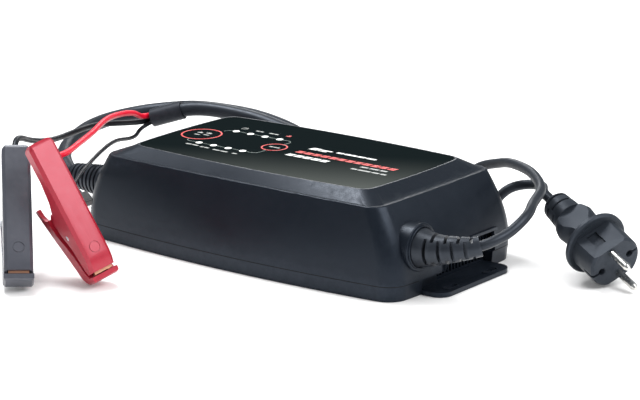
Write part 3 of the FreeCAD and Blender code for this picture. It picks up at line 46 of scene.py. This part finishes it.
class Tree:
    def __init__(self, name):
        self.mat = bpy.data.materials.new(name)
        self.mat.use_nodes = True
        self.t = self.mat.node_tree
        self.t.nodes.clear()
        self.out = self.add("ShaderNodeOutputMaterial")
        self.bsdf = self.add("ShaderNodeBsdfPrincipled")
        self.link(self.bsdf.outputs[0], self.out.inputs["Surface"])
        self.co = self.add("ShaderNodeTexCoord").outputs["Object"]

    def add(self, kind, **kw):
        n = self.t.nodes.new(kind)
        for k, v in kw.items():
            setattr(n, k, v)
        return n

    def link(self, a, b):
        self.t.links.new(a, b)

    def noise(self, scale, detail=3.0, rough=0.5, co=None, dist=0.0):
        n = self.add("ShaderNodeTexNoise")
        n.inputs["Scale"].default_value = scale
        n.inputs["Detail"].default_value = detail
        n.inputs["Roughness"].default_value = rough
        n.inputs["Distortion"].default_value = dist
        self.link(co or self.co, n.inputs["Vector"])
        return n.outputs["Fac"]

    def voronoi(self, scale, feature="F1", co=None):
        n = self.add("ShaderNodeTexVoronoi")
        n.feature = feature
        n.inputs["Scale"].default_value = scale
        self.link(co or self.co, n.inputs["Vector"])
        return n.outputs["Distance"]

    def ramp(self, fac, stops):
        n = self.add("ShaderNodeValToRGB")
        els = n.color_ramp.elements
        while len(els) > 1:
            els.remove(els[-1])
        for i, (p, c) in enumerate(stops):
            e = els[0] if i == 0 else els.new(p)
            e.position = p
            e.color = (*c, 1.0) if len(c) == 3 else c
        self.link(fac, n.inputs["Fac"])
        return n.outputs["Color"]

    def maprange(self, fac, a, b, c, d):
        n = self.add("ShaderNodeMapRange")
        for k, v in zip(("From Min", "From Max", "To Min", "To Max"), (a, b, c, d)):
            n.inputs[k].default_value = v
        self.link(fac, n.inputs["Value"])
        return n.outputs["Result"]

    def math(self, op, a, b=None, clamp=False):
        n = self.add("ShaderNodeMath", operation=op)
        n.use_clamp = clamp
        for i, q in enumerate((a, b)):
            if q is None:
                continue
            if isinstance(q, (int, float)):
                n.inputs[i].default_value = q
            else:
                self.link(q, n.inputs[i])
        return n.outputs[0]

    def mix(self, fac, a, b, mode="MIX"):
        n = self.add("ShaderNodeMix", data_type="RGBA", blend_type=mode)
        for sock, q in ((n.inputs[0], fac), (n.inputs[6], a), (n.inputs[7], b)):
            if isinstance(q, (int, float)):
                sock.default_value = q
            elif isinstance(q, (tuple, list)):
                sock.default_value = (*q, 1.0) if len(q) == 3 else q
            else:
                self.link(q, sock)
        return n.outputs[2]

    def edge(self, lo=0.502, hi=0.56):
        g = self.add("ShaderNodeNewGeometry")
        return self.maprange(g.outputs["Pointiness"], lo, hi, 0.0, 1.0)

    def bump(self, height, strength, dist, normal=None):
        n = self.add("ShaderNodeBump")
        n.inputs["Strength"].default_value = strength
        n.inputs["Distance"].default_value = dist
        self.link(height, n.inputs["Height"])
        if normal is not None:
            self.link(normal, n.inputs["Normal"])
        return n.outputs["Normal"]

    def put(self, name, q):
        s = self.bsdf.inputs[name]
        if isinstance(q, (int, float)):
            s.default_value = q
        elif isinstance(q, (tuple, list)):
            s.default_value = (*q, 1.0) if len(q) == 3 else q
        else:
            self.link(q, s)


def plastic(name, color, rough=0.42, grain=2400.0, grain_h=0.02, var=0.35, edge_wear_and_highlight_gain=1.6, spec=0.5, coat=0.0, sheen=0.0, flow=True, tint=None):
    """Moulded plastic or rubber: fine spark-eroded grain, faint flow marks, broad handling marks in tone, and convex
    edges made paler, partly as wear and partly as a painted highlight.
    """
    m = Tree(name)
    big = m.noise(38.0, 4.0, 0.55)
    mid = m.noise(260.0, 4.0, 0.6)
    fine = m.noise(grain, 2.0, 0.5)
    cell = m.voronoi(grain * 0.8)
    dark = tuple(c * (1 - var) for c in color)
    light = tuple(min(1.0, c * (1 + var)) for c in color)
    base = m.mix(m.maprange(big, 0.3, 0.7, 0.0, 1.0), dark, light)
    # convex edges lightened in colour: partly rubbed wear, partly a painted highlight standing in for the light
    # caught on the edges
    edge = m.edge()
    edge_wear_and_highlight_color = tuple(min(1.0, c * edge_wear_and_highlight_gain + 0.004) for c in color)
    edge_wear_and_highlight = m.math("MULTIPLY", edge, m.maprange(mid, 0.35, 0.65, 0.25, 0.9), clamp=True)
    base = m.mix(edge_wear_and_highlight, base, edge_wear_and_highlight_color)
    m.put("Base Color", base)
    r = m.maprange(mid, 0.3, 0.7, rough - 0.05, rough + 0.07)
    r = m.math("ADD", r, m.maprange(big, 0.35, 0.65, -0.03, 0.03), clamp=True)
    r = m.math("SUBTRACT", r, m.math("MULTIPLY", edge_wear_and_highlight, 0.08), clamp=True)
    m.put("Roughness", r)
    h = m.math("ADD", fine, m.math("MULTIPLY", cell, 0.6))
    n1 = m.bump(h, 0.55, grain_h * MM)
    if flow:
        n1 = m.bump(big, 0.10, 0.12 * MM, n1)
    m.put("Normal", n1)
    m.put("Specular IOR Level", spec)
    if tint:
        m.put("Specular Tint", tint)
    if coat:
        m.put("Coat Weight", coat)
        m.put("Coat Roughness", 0.12)
    if sheen:
        m.put("Sheen Weight", sheen)
        m.put("Sheen Roughness", 0.4)
    return m.mat


def metal(name, color, rough=0.22, brushed=True, tarnish=None, axis=0):
    """Plated or bare metal: fine drawing lines, blotchy tarnish and brighter rubbed edges."""
    m = Tree(name)
    mp = m.add("ShaderNodeMapping")
    sc = [900.0, 900.0, 900.0]
    if brushed:
        sc[axis] = 40.0
    mp.inputs["Scale"].default_value = sc
    m.link(m.co, mp.inputs["Vector"])
    lines = m.noise(1.0, 4.0, 0.6, co=mp.outputs["Vector"])
    spots = m.noise(420.0, 5.0, 0.65)
    tar = tarnish or tuple(c * 0.55 for c in color)
    base = m.mix(m.maprange(spots, 0.42, 0.7, 0.0, 0.75), color, tar)
    edge = m.edge()
    base = m.mix(edge, base, tuple(min(1.0, c * 1.2 + 0.03) for c in color))
    m.put("Base Color", base)
    m.put("Metallic", 1.0)
    r = m.math("ADD", m.maprange(lines, 0.3, 0.7, rough - 0.07, rough + 0.08), m.maprange(spots, 0.4, 0.7, 0.0, 0.12), clamp=True)
    m.put("Roughness", r)
    m.put("Normal", m.bump(lines, 0.25, 0.01 * MM))
    return m.mat


def board(name):
    """Circuit board: solder mask over glass weave, with copper track pattern beneath."""
    m = Tree(name)
    weave = m.add("ShaderNodeTexBrick")
    weave.inputs["Scale"].default_value = 500.0
    weave.inputs["Color1"].default_value = (0.02, 0.15, 0.05, 1)
    weave.inputs["Color2"].default_value = (0.03, 0.2, 0.07, 1)
    weave.inputs["Mortar"].default_value = (0.015, 0.1, 0.035, 1)
    m.link(m.co, weave.inputs["Vector"])
    tracks = m.voronoi(180.0, "DISTANCE_TO_EDGE")
    mask = m.maprange(tracks, 0.03, 0.06, 1.0, 0.0)
    m.put("Base Color", m.mix(mask, weave.outputs["Color"], (0.06, 0.3, 0.11)))
    m.put("Roughness", m.maprange(m.noise(900.0), 0.3, 0.7, 0.2, 0.38))
    m.put("Normal", m.bump(mask, 0.4, 0.04 * MM))
    m.put("Coat Weight", 0.4)
    return m.mat


def winding(name, color, axis):
    m = Tree(name)
    w = m.add("ShaderNodeTexWave")
    w.bands_direction = axis
    w.inputs["Scale"].default_value = 320.0
    w.inputs["Distortion"].default_value = 0.4
    w.inputs["Detail"].default_value = 1.0
    m.link(m.co, w.inputs["Vector"])
    f = w.outputs["Fac"]
    m.put("Base Color", m.ramp(f, [(0.0, tuple(c * 0.25 for c in color)), (0.5, color), (1.0, tuple(min(1, c * 1.25) for c in color))]))
    m.put("Metallic", 0.75)
    m.put("Roughness", m.maprange(m.noise(700.0), 0.3, 0.7, 0.22, 0.36))
    m.put("Normal", m.bump(f, 0.9, 0.25 * MM))
    m.put("Coat Weight", 0.5)
    return m.mat


def ink(name, color, rough=0.4):
    """Screen-printed ink: slightly uneven film with fine speckle."""
    m = Tree(name)
    n1 = m.noise(900.0, 3.0, 0.6)
    n2 = m.noise(6000.0, 2.0, 0.5)
    f = m.math("ADD", m.maprange(n1, 0.3, 0.7, 0.0, 0.6), m.maprange(n2, 0.3, 0.7, 0.0, 0.4), clamp=True)
    m.put("Base Color", m.mix(f, tuple(c * 0.86 for c in color), tuple(min(1.0, c * 1.08) for c in color)))
    m.put("Roughness", m.maprange(n1, 0.3, 0.7, rough - 0.05, rough + 0.06))
    m.put("Normal", m.bump(n2, 0.3, 0.004 * MM))
    m.put("Specular IOR Level", 0.3)
    return m.mat


def soft_film(name, film_color, painted_reflection_color, rough, spec):
    """Matt printed film over the plateau: very fine texture, a broad painted reflection that lightens the colour
    towards +X and -Y, and faint wipe streaks.
    """
    m = Tree(name)
    fine = m.noise(5200.0, 2.0, 0.5)
    mp = m.add("ShaderNodeMapping")
    mp.inputs["Scale"].default_value = (14.0, 160.0, 1.0)
    mp.inputs["Rotation"].default_value = (0, 0, 0.3)
    m.link(m.co, mp.inputs["Vector"])
    wipe = m.noise(1.0, 3.0, 0.6, co=mp.outputs["Vector"])
    # painted reflection: the colour ramps from the film colour to a lighter one towards +X and -Y, standing in for a
    # softbox reflected in the satin film
    sep = m.add("ShaderNodeSeparateXYZ")
    m.link(m.co, sep.inputs[0])
    slope = m.math("SUBTRACT", m.math("MULTIPLY", sep.outputs["X"], 5.0), m.math("MULTIPLY", sep.outputs["Y"], 11.0))
    painted_reflection = m.maprange(slope, 0.0, 1.0, 0.0, 1.0)
    painted_reflection = m.math("POWER", m.math("MAXIMUM", painted_reflection, 0.0), 1.5, clamp=True)
    m.put("Base Color", m.mix(painted_reflection, film_color, painted_reflection_color))
    r = m.math("ADD", m.maprange(fine, 0.3, 0.7, rough - 0.03, rough + 0.04), m.maprange(wipe, 0.4, 0.7, 0.0, 0.035), clamp=True)
    m.put("Roughness", r)
    m.put("Normal", m.bump(fine, 0.4, 0.005 * MM))
    m.put("Specular IOR Level", spec)
    return m.mat


MATS = {
    "case_black": plastic("case_black", (0.0046, 0.0066, 0.0104), 0.38, 1500.0, 0.02, 0.05, 1.7, spec=0.27, flow=False, tint=(0.68, 0.80, 1.0)),
    # label and keys: film colour, then the lighter colour of the painted reflection at the near right
    "label_film": soft_film("label_film", (0.0050, 0.0078, 0.0085), (0.060, 0.066, 0.062), 0.45, 0.0),
    "key_plastic": soft_film("key_plastic", (0.0050, 0.0078, 0.0085), (0.060, 0.066, 0.062), 0.45, 0.0),
    "clear_white": plastic("clear_white", (0.88, 0.90, 0.87), 0.28, 1800.0, 0.01, 0.04, 1.0, flow=False),
    "led_body": plastic("led_body", (0.8, 0.8, 0.72), 0.2, 1800.0, 0.01, 0.05, 1.0, flow=False),
    "board_green": board("board_green"),
    "steel_zinc": metal("steel_zinc", (0.62, 0.63, 0.66), 0.24, True),
    "ferrite": plastic("ferrite", (0.05, 0.05, 0.055), 0.55, 1800.0, 0.03, 0.3),
    "copper_wire": winding("copper_wire", (0.72, 0.28, 0.1), "Z"),
    "can_black": plastic("can_black", (0.015, 0.015, 0.03), 0.25, 1200.0, 0.01, 0.2, coat=0.4),
    "alu": metal("alu", (0.75, 0.76, 0.78), 0.32, True, axis=2),
    "semi_black": plastic("semi_black", (0.02, 0.02, 0.02), 0.5, 1600.0, 0.02, 0.3),
    "film_yellow": plastic("film_yellow", (0.6, 0.45, 0.06), 0.3, 1500.0, 0.01, 0.1),
    "glass_tube": plastic("glass_tube", (0.7, 0.75, 0.76), 0.08, 1500.0, 0.003, 0.05, flow=False),
    "terminal_green": plastic("terminal_green", (0.03, 0.25, 0.09), 0.4, 1500.0, 0.02, 0.1),
    "fan_black": plastic("fan_black", (0.014, 0.014, 0.015), 0.45, 1500.0, 0.02, 0.2),
    "cord_rubber": plastic("cord_rubber", (0.012, 0.014, 0.018), 0.42, 1700.0, 0.015, 0.08, 1.3, spec=0.36, flow=False, tint=(0.74, 0.84, 1.0)),
    "relief_rubber": plastic("relief_rubber", (0.012, 0.014, 0.018), 0.40, 1500.0, 0.02, 0.10, 1.6, spec=0.42, flow=False, tint=(0.74, 0.84, 1.0)),
    "sleeve_black": plastic("sleeve_black", (0.011, 0.012, 0.016), 0.44, 1300.0, 0.03, 0.12, 1.5, spec=0.36, flow=False, tint=(0.78, 0.86, 1.0)),
    "lead_red": plastic("lead_red", (0.66, 0.006, 0.028), 0.36, 1700.0, 0.01, 0.05, 1.1, spec=0.28, flow=False, tint=(1.0, 0.7, 0.75)),
    "lead_black": plastic("lead_black", (0.007, 0.008, 0.010), 0.38, 1700.0, 0.01, 0.08, 1.3, spec=0.22, flow=False, tint=(0.8, 0.88, 1.0)),
    "wire_pvc": plastic("wire_pvc", (0.10, 0.03, 0.02), 0.35, 1700.0, 0.015, 0.2),
    "plug_rubber": plastic("plug_rubber", (0.013, 0.016, 0.021), 0.52, 1500.0, 0.025, 0.10, 1.6, spec=0.30, flow=False, tint=(0.74, 0.84, 1.0)),
    "nickel": metal("nickel", (0.60, 0.59, 0.56), 0.17, True),
    "clamp_black": plastic("clamp_black", (0.044, 0.046, 0.059), 0.37, 1500.0, 0.02, 0.03, 1.1, spec=1.0, flow=False, tint=(0.92, 0.94, 1.0)),
    "clamp_red": plastic("clamp_red", (0.33, 0.008, 0.022), 0.36, 1500.0, 0.02, 0.05, 1.1, spec=1.0, flow=False, tint=(1.0, 0.56, 0.64)),
    "jaw_copper": metal("jaw_copper", (0.36, 0.17, 0.10), 0.36, True, (0.20, 0.09, 0.05)),
    "sensor_black": plastic("sensor_black", (0.014, 0.015, 0.016), 0.4, 1500.0, 0.02, 0.15, flow=False),
}
INK_RED = ink("ink_red", (0.62, 0.035, 0.03))
INK_WHITE = ink("ink_white", (0.80, 0.81, 0.80))
INK_GREY = ink("ink_grey", (0.33, 0.34, 0.33))
INK_LINE = ink("ink_line", (0.16, 0.21, 0.19))
# near-black ink for a strip painted along the parting line as its shadow
SEAM_SHADOW_INK = ink("seam_shadow", (0.002, 0.002, 0.0025), 0.8)


def soften(o, deg=34.0):
    """Shading normals averaged across neighbouring faces that meet at a small angle."""
    me = o.data
    nl, npoly = len(me.loops), len(me.polygons)
    if not nl:
        return
    co = np.empty(len(me.vertices) * 3)
    me.vertices.foreach_get("co", co)
    co = co.reshape(-1, 3)
    vi = np.empty(nl, dtype=np.int64)
    me.loops.foreach_get("vertex_index", vi)
    tot = np.empty(npoly, dtype=np.int64)
    me.polygons.foreach_get("loop_total", tot)
    start = np.empty(npoly, dtype=np.int64)
    me.polygons.foreach_get("loop_start", start)
    fn = np.empty(npoly * 3)
    me.polygons.foreach_get("normal", fn)
    fn = fn.reshape(-1, 3)
    ar = np.empty(npoly)
    me.polygons.foreach_get("area", ar)
    face = np.repeat(np.arange(npoly), tot)
    order = np.argsort(start, kind="stable")
    face = np.repeat(order, tot[order])
    p = co[vi]
    idx = np.arange(nl)
    first, last = start[face], start[face] + tot[face] - 1
    nx = np.where(idx == last, first, idx + 1)
    pv = np.where(idx == first, last, idx - 1)
    e1, e2 = p[nx] - p, p[pv] - p
    l1, l2 = np.linalg.norm(e1, axis=1) + 1e-12, np.linalg.norm(e2, axis=1) + 1e-12
    ang = np.arccos(np.clip((e1 * e2).sum(1) / (l1 * l2), -1, 1))
    w = ang * (ar[face] + 1e-12)
    n = fn[face]
    key = np.round(p * 5e5).astype(np.int64)
    _, g = np.unique(key, axis=0, return_inverse=True)
    g = g.reshape(-1)
    srt = np.argsort(g, kind="stable")
    gs, ns, ws = g[srt], n[srt], w[srt]
    acc = ns * ws[:, None]
    lim = math.cos(math.radians(deg))
    k = 1
    while k < min(nl, 400):
        same = gs[k:] == gs[:-k]
        if not same.any():
            break
        ok = same & ((ns[k:] * ns[:-k]).sum(1) > lim)
        acc[:-k][ok] += ns[k:][ok] * ws[k:][ok][:, None]
        acc[k:][ok] += ns[:-k][ok] * ws[:-k][ok][:, None]
        k += 1
    ln = np.linalg.norm(acc, axis=1)
    bad = ln < 1e-15
    acc[bad] = ns[bad]
    ln[bad] = 1.0
    out = np.empty_like(acc)
    out[srt] = acc / ln[:, None]
    me.polygons.foreach_set("use_smooth", np.ones(npoly, dtype=bool))
    me.normals_split_custom_set(out.tolist())


for row in frame["record"]["subparts"]:
    o = NODES[row["node"]]
    mat = MATS[row["material_slot"]]
    if not o.data.materials:
        o.data.materials.append(mat)
    for i in range(len(o.material_slots)):
        o.material_slots[i].material = mat
    soften(o)

# ---------------------------------------------------------------- printed marks on the label and keys

LABEL_Z = 65.0


def add_piece(name, bm, mat, body_name="charger"):
    bmesh.ops.recalc_face_normals(bm, faces=bm.faces[:])
    me = bpy.data.meshes.new(name)
    bm.to_mesh(me)
    bm.free()
    o = bpy.data.objects.new(name, me)
    scene.collection.objects.link(o)
    o.data.materials.append(mat)
    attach(o, body_name)
    return o


def film_face(bm, pts, z=LABEL_Z, t=0.03):
    lo = [bm.verts.new((x * MM, y * MM, (z + 0.002) * MM)) for x, y in pts]
    hi = [bm.verts.new((x * MM, y * MM, (z + t) * MM)) for x, y in pts]
    n = len(pts)
    bm.faces.new(hi)
    bm.faces.new(lo[::-1])
    for i in range(n):
        j = (i + 1) % n
        bm.faces.new((lo[i], lo[j], hi[j], hi[i]))


def film_strip(bm, pts, width, closed=False, z=LABEL_Z, t=0.03):
    n = len(pts)
    left, rgt = [], []
    for i in range(n):
        a = Vector(pts[(i - 1) % n] if (closed or i > 0) else pts[i])
        c = Vector(pts[(i + 1) % n] if (closed or i < n - 1) else pts[i])
        d = (c - a).normalized()
        q = Vector((-d.y, d.x)) * width / 2
        left.append(Vector(pts[i]) + q)
        rgt.append(Vector(pts[i]) - q)
    m = n if closed else n - 1
    rows = []
    for i in range(n):
        rows.append([bm.verts.new((v.x * MM, v.y * MM, zz * MM)) for v, zz in ((left[i], z + 0.002), (left[i], z + t), (rgt[i], z + t), (rgt[i], z + 0.002))])
    for i in range(m):
        a, b = rows[i], rows[(i + 1) % n]
        for k in range(4):
            bm.faces.new((a[k], b[k], b[(k + 1) % 4], a[(k + 1) % 4]))
    if not closed:
        bm.faces.new(rows[0])
        bm.faces.new(rows[-1][::-1])


def arc_pts(cx, cy, r, a0, a1, n=10):
    return [(cx + r * math.cos(math.radians(a0 + (a1 - a0) * i / n)), cy + r * math.sin(math.radians(a0 + (a1 - a0) * i / n))) for i in range(n + 1)]


def bar(bm, x0, x1, y, h, slant=0.0, z=LABEL_Z):
    s2 = slant * h / 2
    film_face(bm, [(x0 - s2, y - h / 2), (x1 - s2, y - h / 2), (x1 + s2, y + h / 2), (x0 + s2, y + h / 2)], z)


MODE, RESET = (-80.0, -2.0), (-17.3, -0.8)
LED_X = (-66.1, -53.4, -40.7, -28.0)
bm = bmesh.new()
film_strip(bm, arc_pts(*MODE, 13.6, 0, 360 * 95 / 96, 95), 1.1, True)
film_strip(bm, arc_pts(*RESET, 8.55, 0, 360 * 71 / 72, 71), 0.95, True)
bar(bm, -30.0, -26.4, 27.6, 1.3, 0.3)
bar(bm, -29.0, -27.0, 29.4, 1.0, 0.3)
for i in range(12):
    bar(bm, 2.4 + 6.87 * i, 7.9 + 6.87 * i, 0.85, 1.75, 0.35)
    bar(bm, 1.9 + 6.87 * i, 7.4 + 6.87 * i, -1.75, 1.95, 0.35)
add_piece("print_red", bm, INK_RED)
bm = bmesh.new()
film_face(bm, [(3.6, 8.9), (10.0, 8.9), (12.2, 13.6), (5.8, 13.6)])
bar(bm, 12.6, 21.6, 11.9, 1.7, 0.4)
bar(bm, 11.6, 18.6, 9.4, 1.2, 0.4)
for x0, x1 in ((25.4, 30.6), (31.8, 41.4), (42.6, 48.6), (49.8, 57.2)):
    bar(bm, x0, x1, 12.4, 2.5, 0.35)
for i in range(5):
    bar(bm, 1.4 + 7.0 * i, 7.1 + 7.0 * i, -8.6, 1.8, 0.35)
    bar(bm, 0.9 + 7.0 * i, 6.6 + 7.0 * i, -11.2, 1.9, 0.35)
add_piece("print_white", bm, INK_WHITE)
bm = bmesh.new()
for y, cuts in ((-7.4, ((60.0, 66.0), (67.4, 74.6), (76.0, 81.2))), (-14.4, ((57.6, 62.0), (63.2, 73.0), (74.2, 79.8), (81.0, 85.6)))):
    for x0, x1 in cuts:
        bar(bm, x0, x1, y, 2.1, 0.3)
for (x0, x1), y in (((-71.6, -67.2), -27.6), ((-66.4, -61.2), -27.6), ((-58.4, -55.6), -28.6), ((-54.8, -51.0), -28.6), ((-46.4, -40.8), -29.4), ((-40.0, -34.2), -29.4), ((-29.8, -26.2), -29.4),
                    ((-55.6, -52.8), 26.8), ((-52.0, -49.4), 26.8), ((-44.2, -40.6), 27.0), ((-39.8, -36.6), 27.0)):
    bar(bm, x0, x1, y, 1.7, 0.25)
film_strip(bm, [(-67.8, 25.6), (-63.8, 25.6), (-63.8, 28.2), (-67.8, 28.2)], 0.5, True)
bar(bm, -67.0, -66.2, 29.0, 0.8)
bar(bm, -65.4, -64.6, 29.0, 0.8)
add_piece("print_grey", bm, INK_GREY)
bm = bmesh.new()
W = 0.42
film_strip(bm, arc_pts(-68.2, 13.4, 4.5, 184, 90, 8) + [(LED_X[0] - 3.4 + 2.2, 17.9)], W)
for i in range(3):
    film_strip(bm, [(LED_X[i] + 3.2, 17.9), (LED_X[i + 1] - 3.2, 17.9)], W)
    film_strip(bm, [(LED_X[i] + 3.2, -20.8), (LED_X[i + 1] - 3.2, -20.8)], W)
film_strip(bm, [(LED_X[3] + 3.2, 17.9)] + arc_pts(-20.8, 13.4, 4.5, 90, 0, 8) + [(-16.5, 8.6)], W)
film_strip(bm, [(-78.8, -16.4)] + arc_pts(-74.4, -16.4, 4.4, 184, 270, 8) + [(LED_X[0] - 3.2, -20.8)], W)
film_strip(bm, [(LED_X[3] + 3.2, -20.8)] + arc_pts(-21.2, -16.4, 4.4, 270, 360, 8) + [(-16.9, -10.3)], W)
add_piece("print_line", bm, INK_LINE)
# marks on the keys move with them
bm = bmesh.new()
for x0, x1, y, h in ((-85.6, -81.4, 0.6, 1.5), (-79.2, -74.8, 2.2, 1.5), (-84.2, -80.0, -4.4, 1.4), (-78.0, -73.6, -2.2, 1.4), (-84.4, -82.6, 2.0, 0.8), (-78.4, -76.0, 3.6, 0.7)):
    bar(bm, x0, x1, y, h, 0.2)
add_piece("key_print_mode", bm, INK_GREY, "mode_button")
bm = bmesh.new()
for x0, x1 in ((-21.4, -18.6), (-18.0, -15.6), (-15.0, -13.0)):
    bar(bm, x0, x1, -0.8, 1.7, 0.2)
add_piece("key_print_reset", bm, INK_GREY, "reset_button")

# ---------------------------------------------------------------- painted parting-line shadow and collar lip


def hull2d(pts):
    pts = sorted(set((round(x, 6), round(y, 6)) for x, y in pts))
    out = []
    for seq in (pts, pts[::-1]):
        h = []
        for p in seq:
            while len(h) > 1 and (h[-1][0] - h[-2][0]) * (p[1] - h[-2][1]) - (h[-1][1] - h[-2][1]) * (p[0] - h[-2][0]) <= 0:
                h.pop()
            h.append(p)
        out += h[:-1]
    return out


cover = NODES["top_cover"]
cw = [cover.matrix_world @ v.co for v in cover.data.vertices]
rim = hull2d([(v.x, v.y) for v in cw if abs(v.z - 0.010) < 2e-5])
# thin strip round the cover's rim at the parting line, painted near-black as the shadow of the joint
bm = bmesh.new()
n = len(rim)
rows = []
for i in range(n):
    a, c = Vector(rim[i - 1]), Vector(rim[(i + 1) % n])
    d = (c - a).normalized()
    q = Vector(rim[i])
    out = Vector((d.y, -d.x))
    rows.append([bm.verts.new((q.x + out.x * e, q.y + out.y * e, z)) for e, z in ((0.00007, 0.00975), (0.00007, 0.01018), (-0.0004, 0.01018), (-0.0004, 0.00975))])
for i in range(n):
    j = (i + 1) % n
    mx, my = (rim[i][0] + rim[j][0]) / 2, (rim[i][1] + rim[j][1]) / 2
    if abs(mx) > 0.120 and abs(my) < 0.0425:
        continue
    for k in range(4):
        bm.faces.new((rows[i][k], rows[j][k], rows[j][(k + 1) % 4], rows[i][(k + 1) % 4]))
bmesh.ops.delete(bm, geom=[v for v in bm.verts if not v.link_faces], context="VERTS")
bmesh.ops.holes_fill(bm, edges=[e for e in bm.edges if len(e.link_faces) == 1], sides=4)
add_piece("parting_shadow", bm, SEAM_SHADOW_INK)

# thin rolled lip round the seat of the mains strain relief
bm = bmesh.new()
LIP_X, LIP_Y, LIP_Z, LIP_R, LIP_T = 132.75, -40.2, 31.5, 13.35, 0.62
rows = []
for i in range(96):
    a = 2 * math.pi * i / 96
    ring = []
    for k in range(12):
        b = 2 * math.pi * k / 12
        r = LIP_R + LIP_T * math.cos(b)
        ring.append(bm.verts.new(((LIP_X + LIP_T * 0.9 * math.sin(b)) * MM, (LIP_Y + r * math.cos(a)) * MM, (LIP_Z + r * math.sin(a)) * MM)))
    rows.append(ring)
for i in range(96):
    j = (i + 1) % 96
    for k in range(12):
        bm.faces.new((rows[i][k], rows[j][k], rows[j][(k + 1) % 12], rows[i][(k + 1) % 12]))
lip = add_piece("collar_lip", bm, MATS["case_black"])
lip.data.polygons.foreach_set("use_smooth", [True] * len(lip.data.polygons))

# ---------------------------------------------------------------- stage, light, camera


def stage_floor():
    bm = bmesh.new()
    bmesh.ops.create_grid(bm, x_segments=60, y_segments=60, size=3.0)
    me = bpy.data.meshes.new("floor")
    bm.to_mesh(me)
    bm.free()
    o = bpy.data.objects.new("floor", me)
    o.location = (0, 0, -0.0002)
    scene.collection.objects.link(o)
    m = Tree("floor_mat")
    m.put("Base Color", m.mix(m.maprange(m.noise(3.0), 0.3, 0.7, 0.0, 1.0), (0.90, 0.90, 0.90), (0.93, 0.93, 0.93)))
    m.put("Roughness", 0.75)
    m.put("Specular IOR Level", 0.2)
    o.data.materials.append(m.mat)
    return o


stage_floor()
scene.view_settings.view_transform = "Standard"
world = bpy.data.worlds.new("studio")
scene.world = world
world.use_nodes = True
bg = world.node_tree.nodes["Background"]
bg.inputs["Color"].default_value = (1.0, 1.0, 1.0, 1.0)
bg.inputs["Strength"].default_value = 0.80
# the room seen in reflections is dimmer than the light it gives, as in a studio with dark walls
wt = world.node_tree
path = wt.nodes.new("ShaderNodeLightPath")
dim = wt.nodes.new("ShaderNodeBackground")
dim.inputs["Color"].default_value = (0.86, 0.93, 1.0, 1.0)
dim.inputs["Strength"].default_value = 0.36
pick = wt.nodes.new("ShaderNodeMixShader")
wt.links.new(path.outputs["Is Glossy Ray"], pick.inputs["Fac"])
wt.links.new(bg.outputs["Background"], pick.inputs[1])
wt.links.new(dim.outputs["Background"], pick.inputs[2])
wt.links.new(pick.outputs["Shader"], wt.nodes["World Output"].inputs["Surface"])


def area(name, loc, target, sx, sy, power, color=(1, 1, 1)):
    l = bpy.data.lights.new(name, "AREA")
    l.shape = "RECTANGLE"
    l.size, l.size_y = sx, sy
    l.energy = power
    l.color = color
    o = bpy.data.objects.new(name, l)
    o.location = loc
    d = Vector(target) - Vector(loc)
    o.rotation_euler = d.to_track_quat("-Z", "Y").to_euler()
    scene.collection.objects.link(o)
    return o


area("band_light", (-0.43, 0.0, 0.93), (0.08, -0.05, 0.06), 0.34, 0.42, 10.0)
area("side_light", (0.78, 0.10, 0.74), (-0.08, -0.15, 0.05), 0.75, 0.60, 9.5)
area("back_light", (-0.78, 1.05, 0.55), (0.05, 0.0, 0.06), 0.4, 0.35, 2.0)

# camera: fitted view, position and axes in metres in the row frame
EYE = Vector((1.0518, -1.3011, 0.4935))
AZ, EL, ROLL = math.radians(38.95), math.radians(16.43), math.radians(-0.62)
back = Vector((math.sin(AZ) * math.cos(EL), -math.cos(AZ) * math.cos(EL), math.sin(EL)))
right = Vector((math.cos(AZ), math.sin(AZ), 0.0))
up = right.cross(-back)
rr = right * math.cos(ROLL) + up * math.sin(ROLL)
ru = -right * math.sin(ROLL) + up * math.cos(ROLL)
F = 2614.1
aim = (-back + rr * (23.42 / F) + ru * (45.0 / F)).normalized()
rx = (rr - aim * rr.dot(aim)).normalized()
uy = rx.cross(aim)
cam = bpy.data.cameras.new("main_view")
cam.sensor_fit = "HORIZONTAL"
cam.sensor_width = 36.0
cam.lens = F * 36.0 / 640.0
cam.clip_start = 0.05
camo = bpy.data.objects.new("main_view", cam)
m3 = Matrix((rx, uy, -aim)).transposed()
camo.matrix_world = Matrix.Translation(EYE) @ m3.to_4x4()
scene.collection.objects.link(camo)
scene.camera = camo
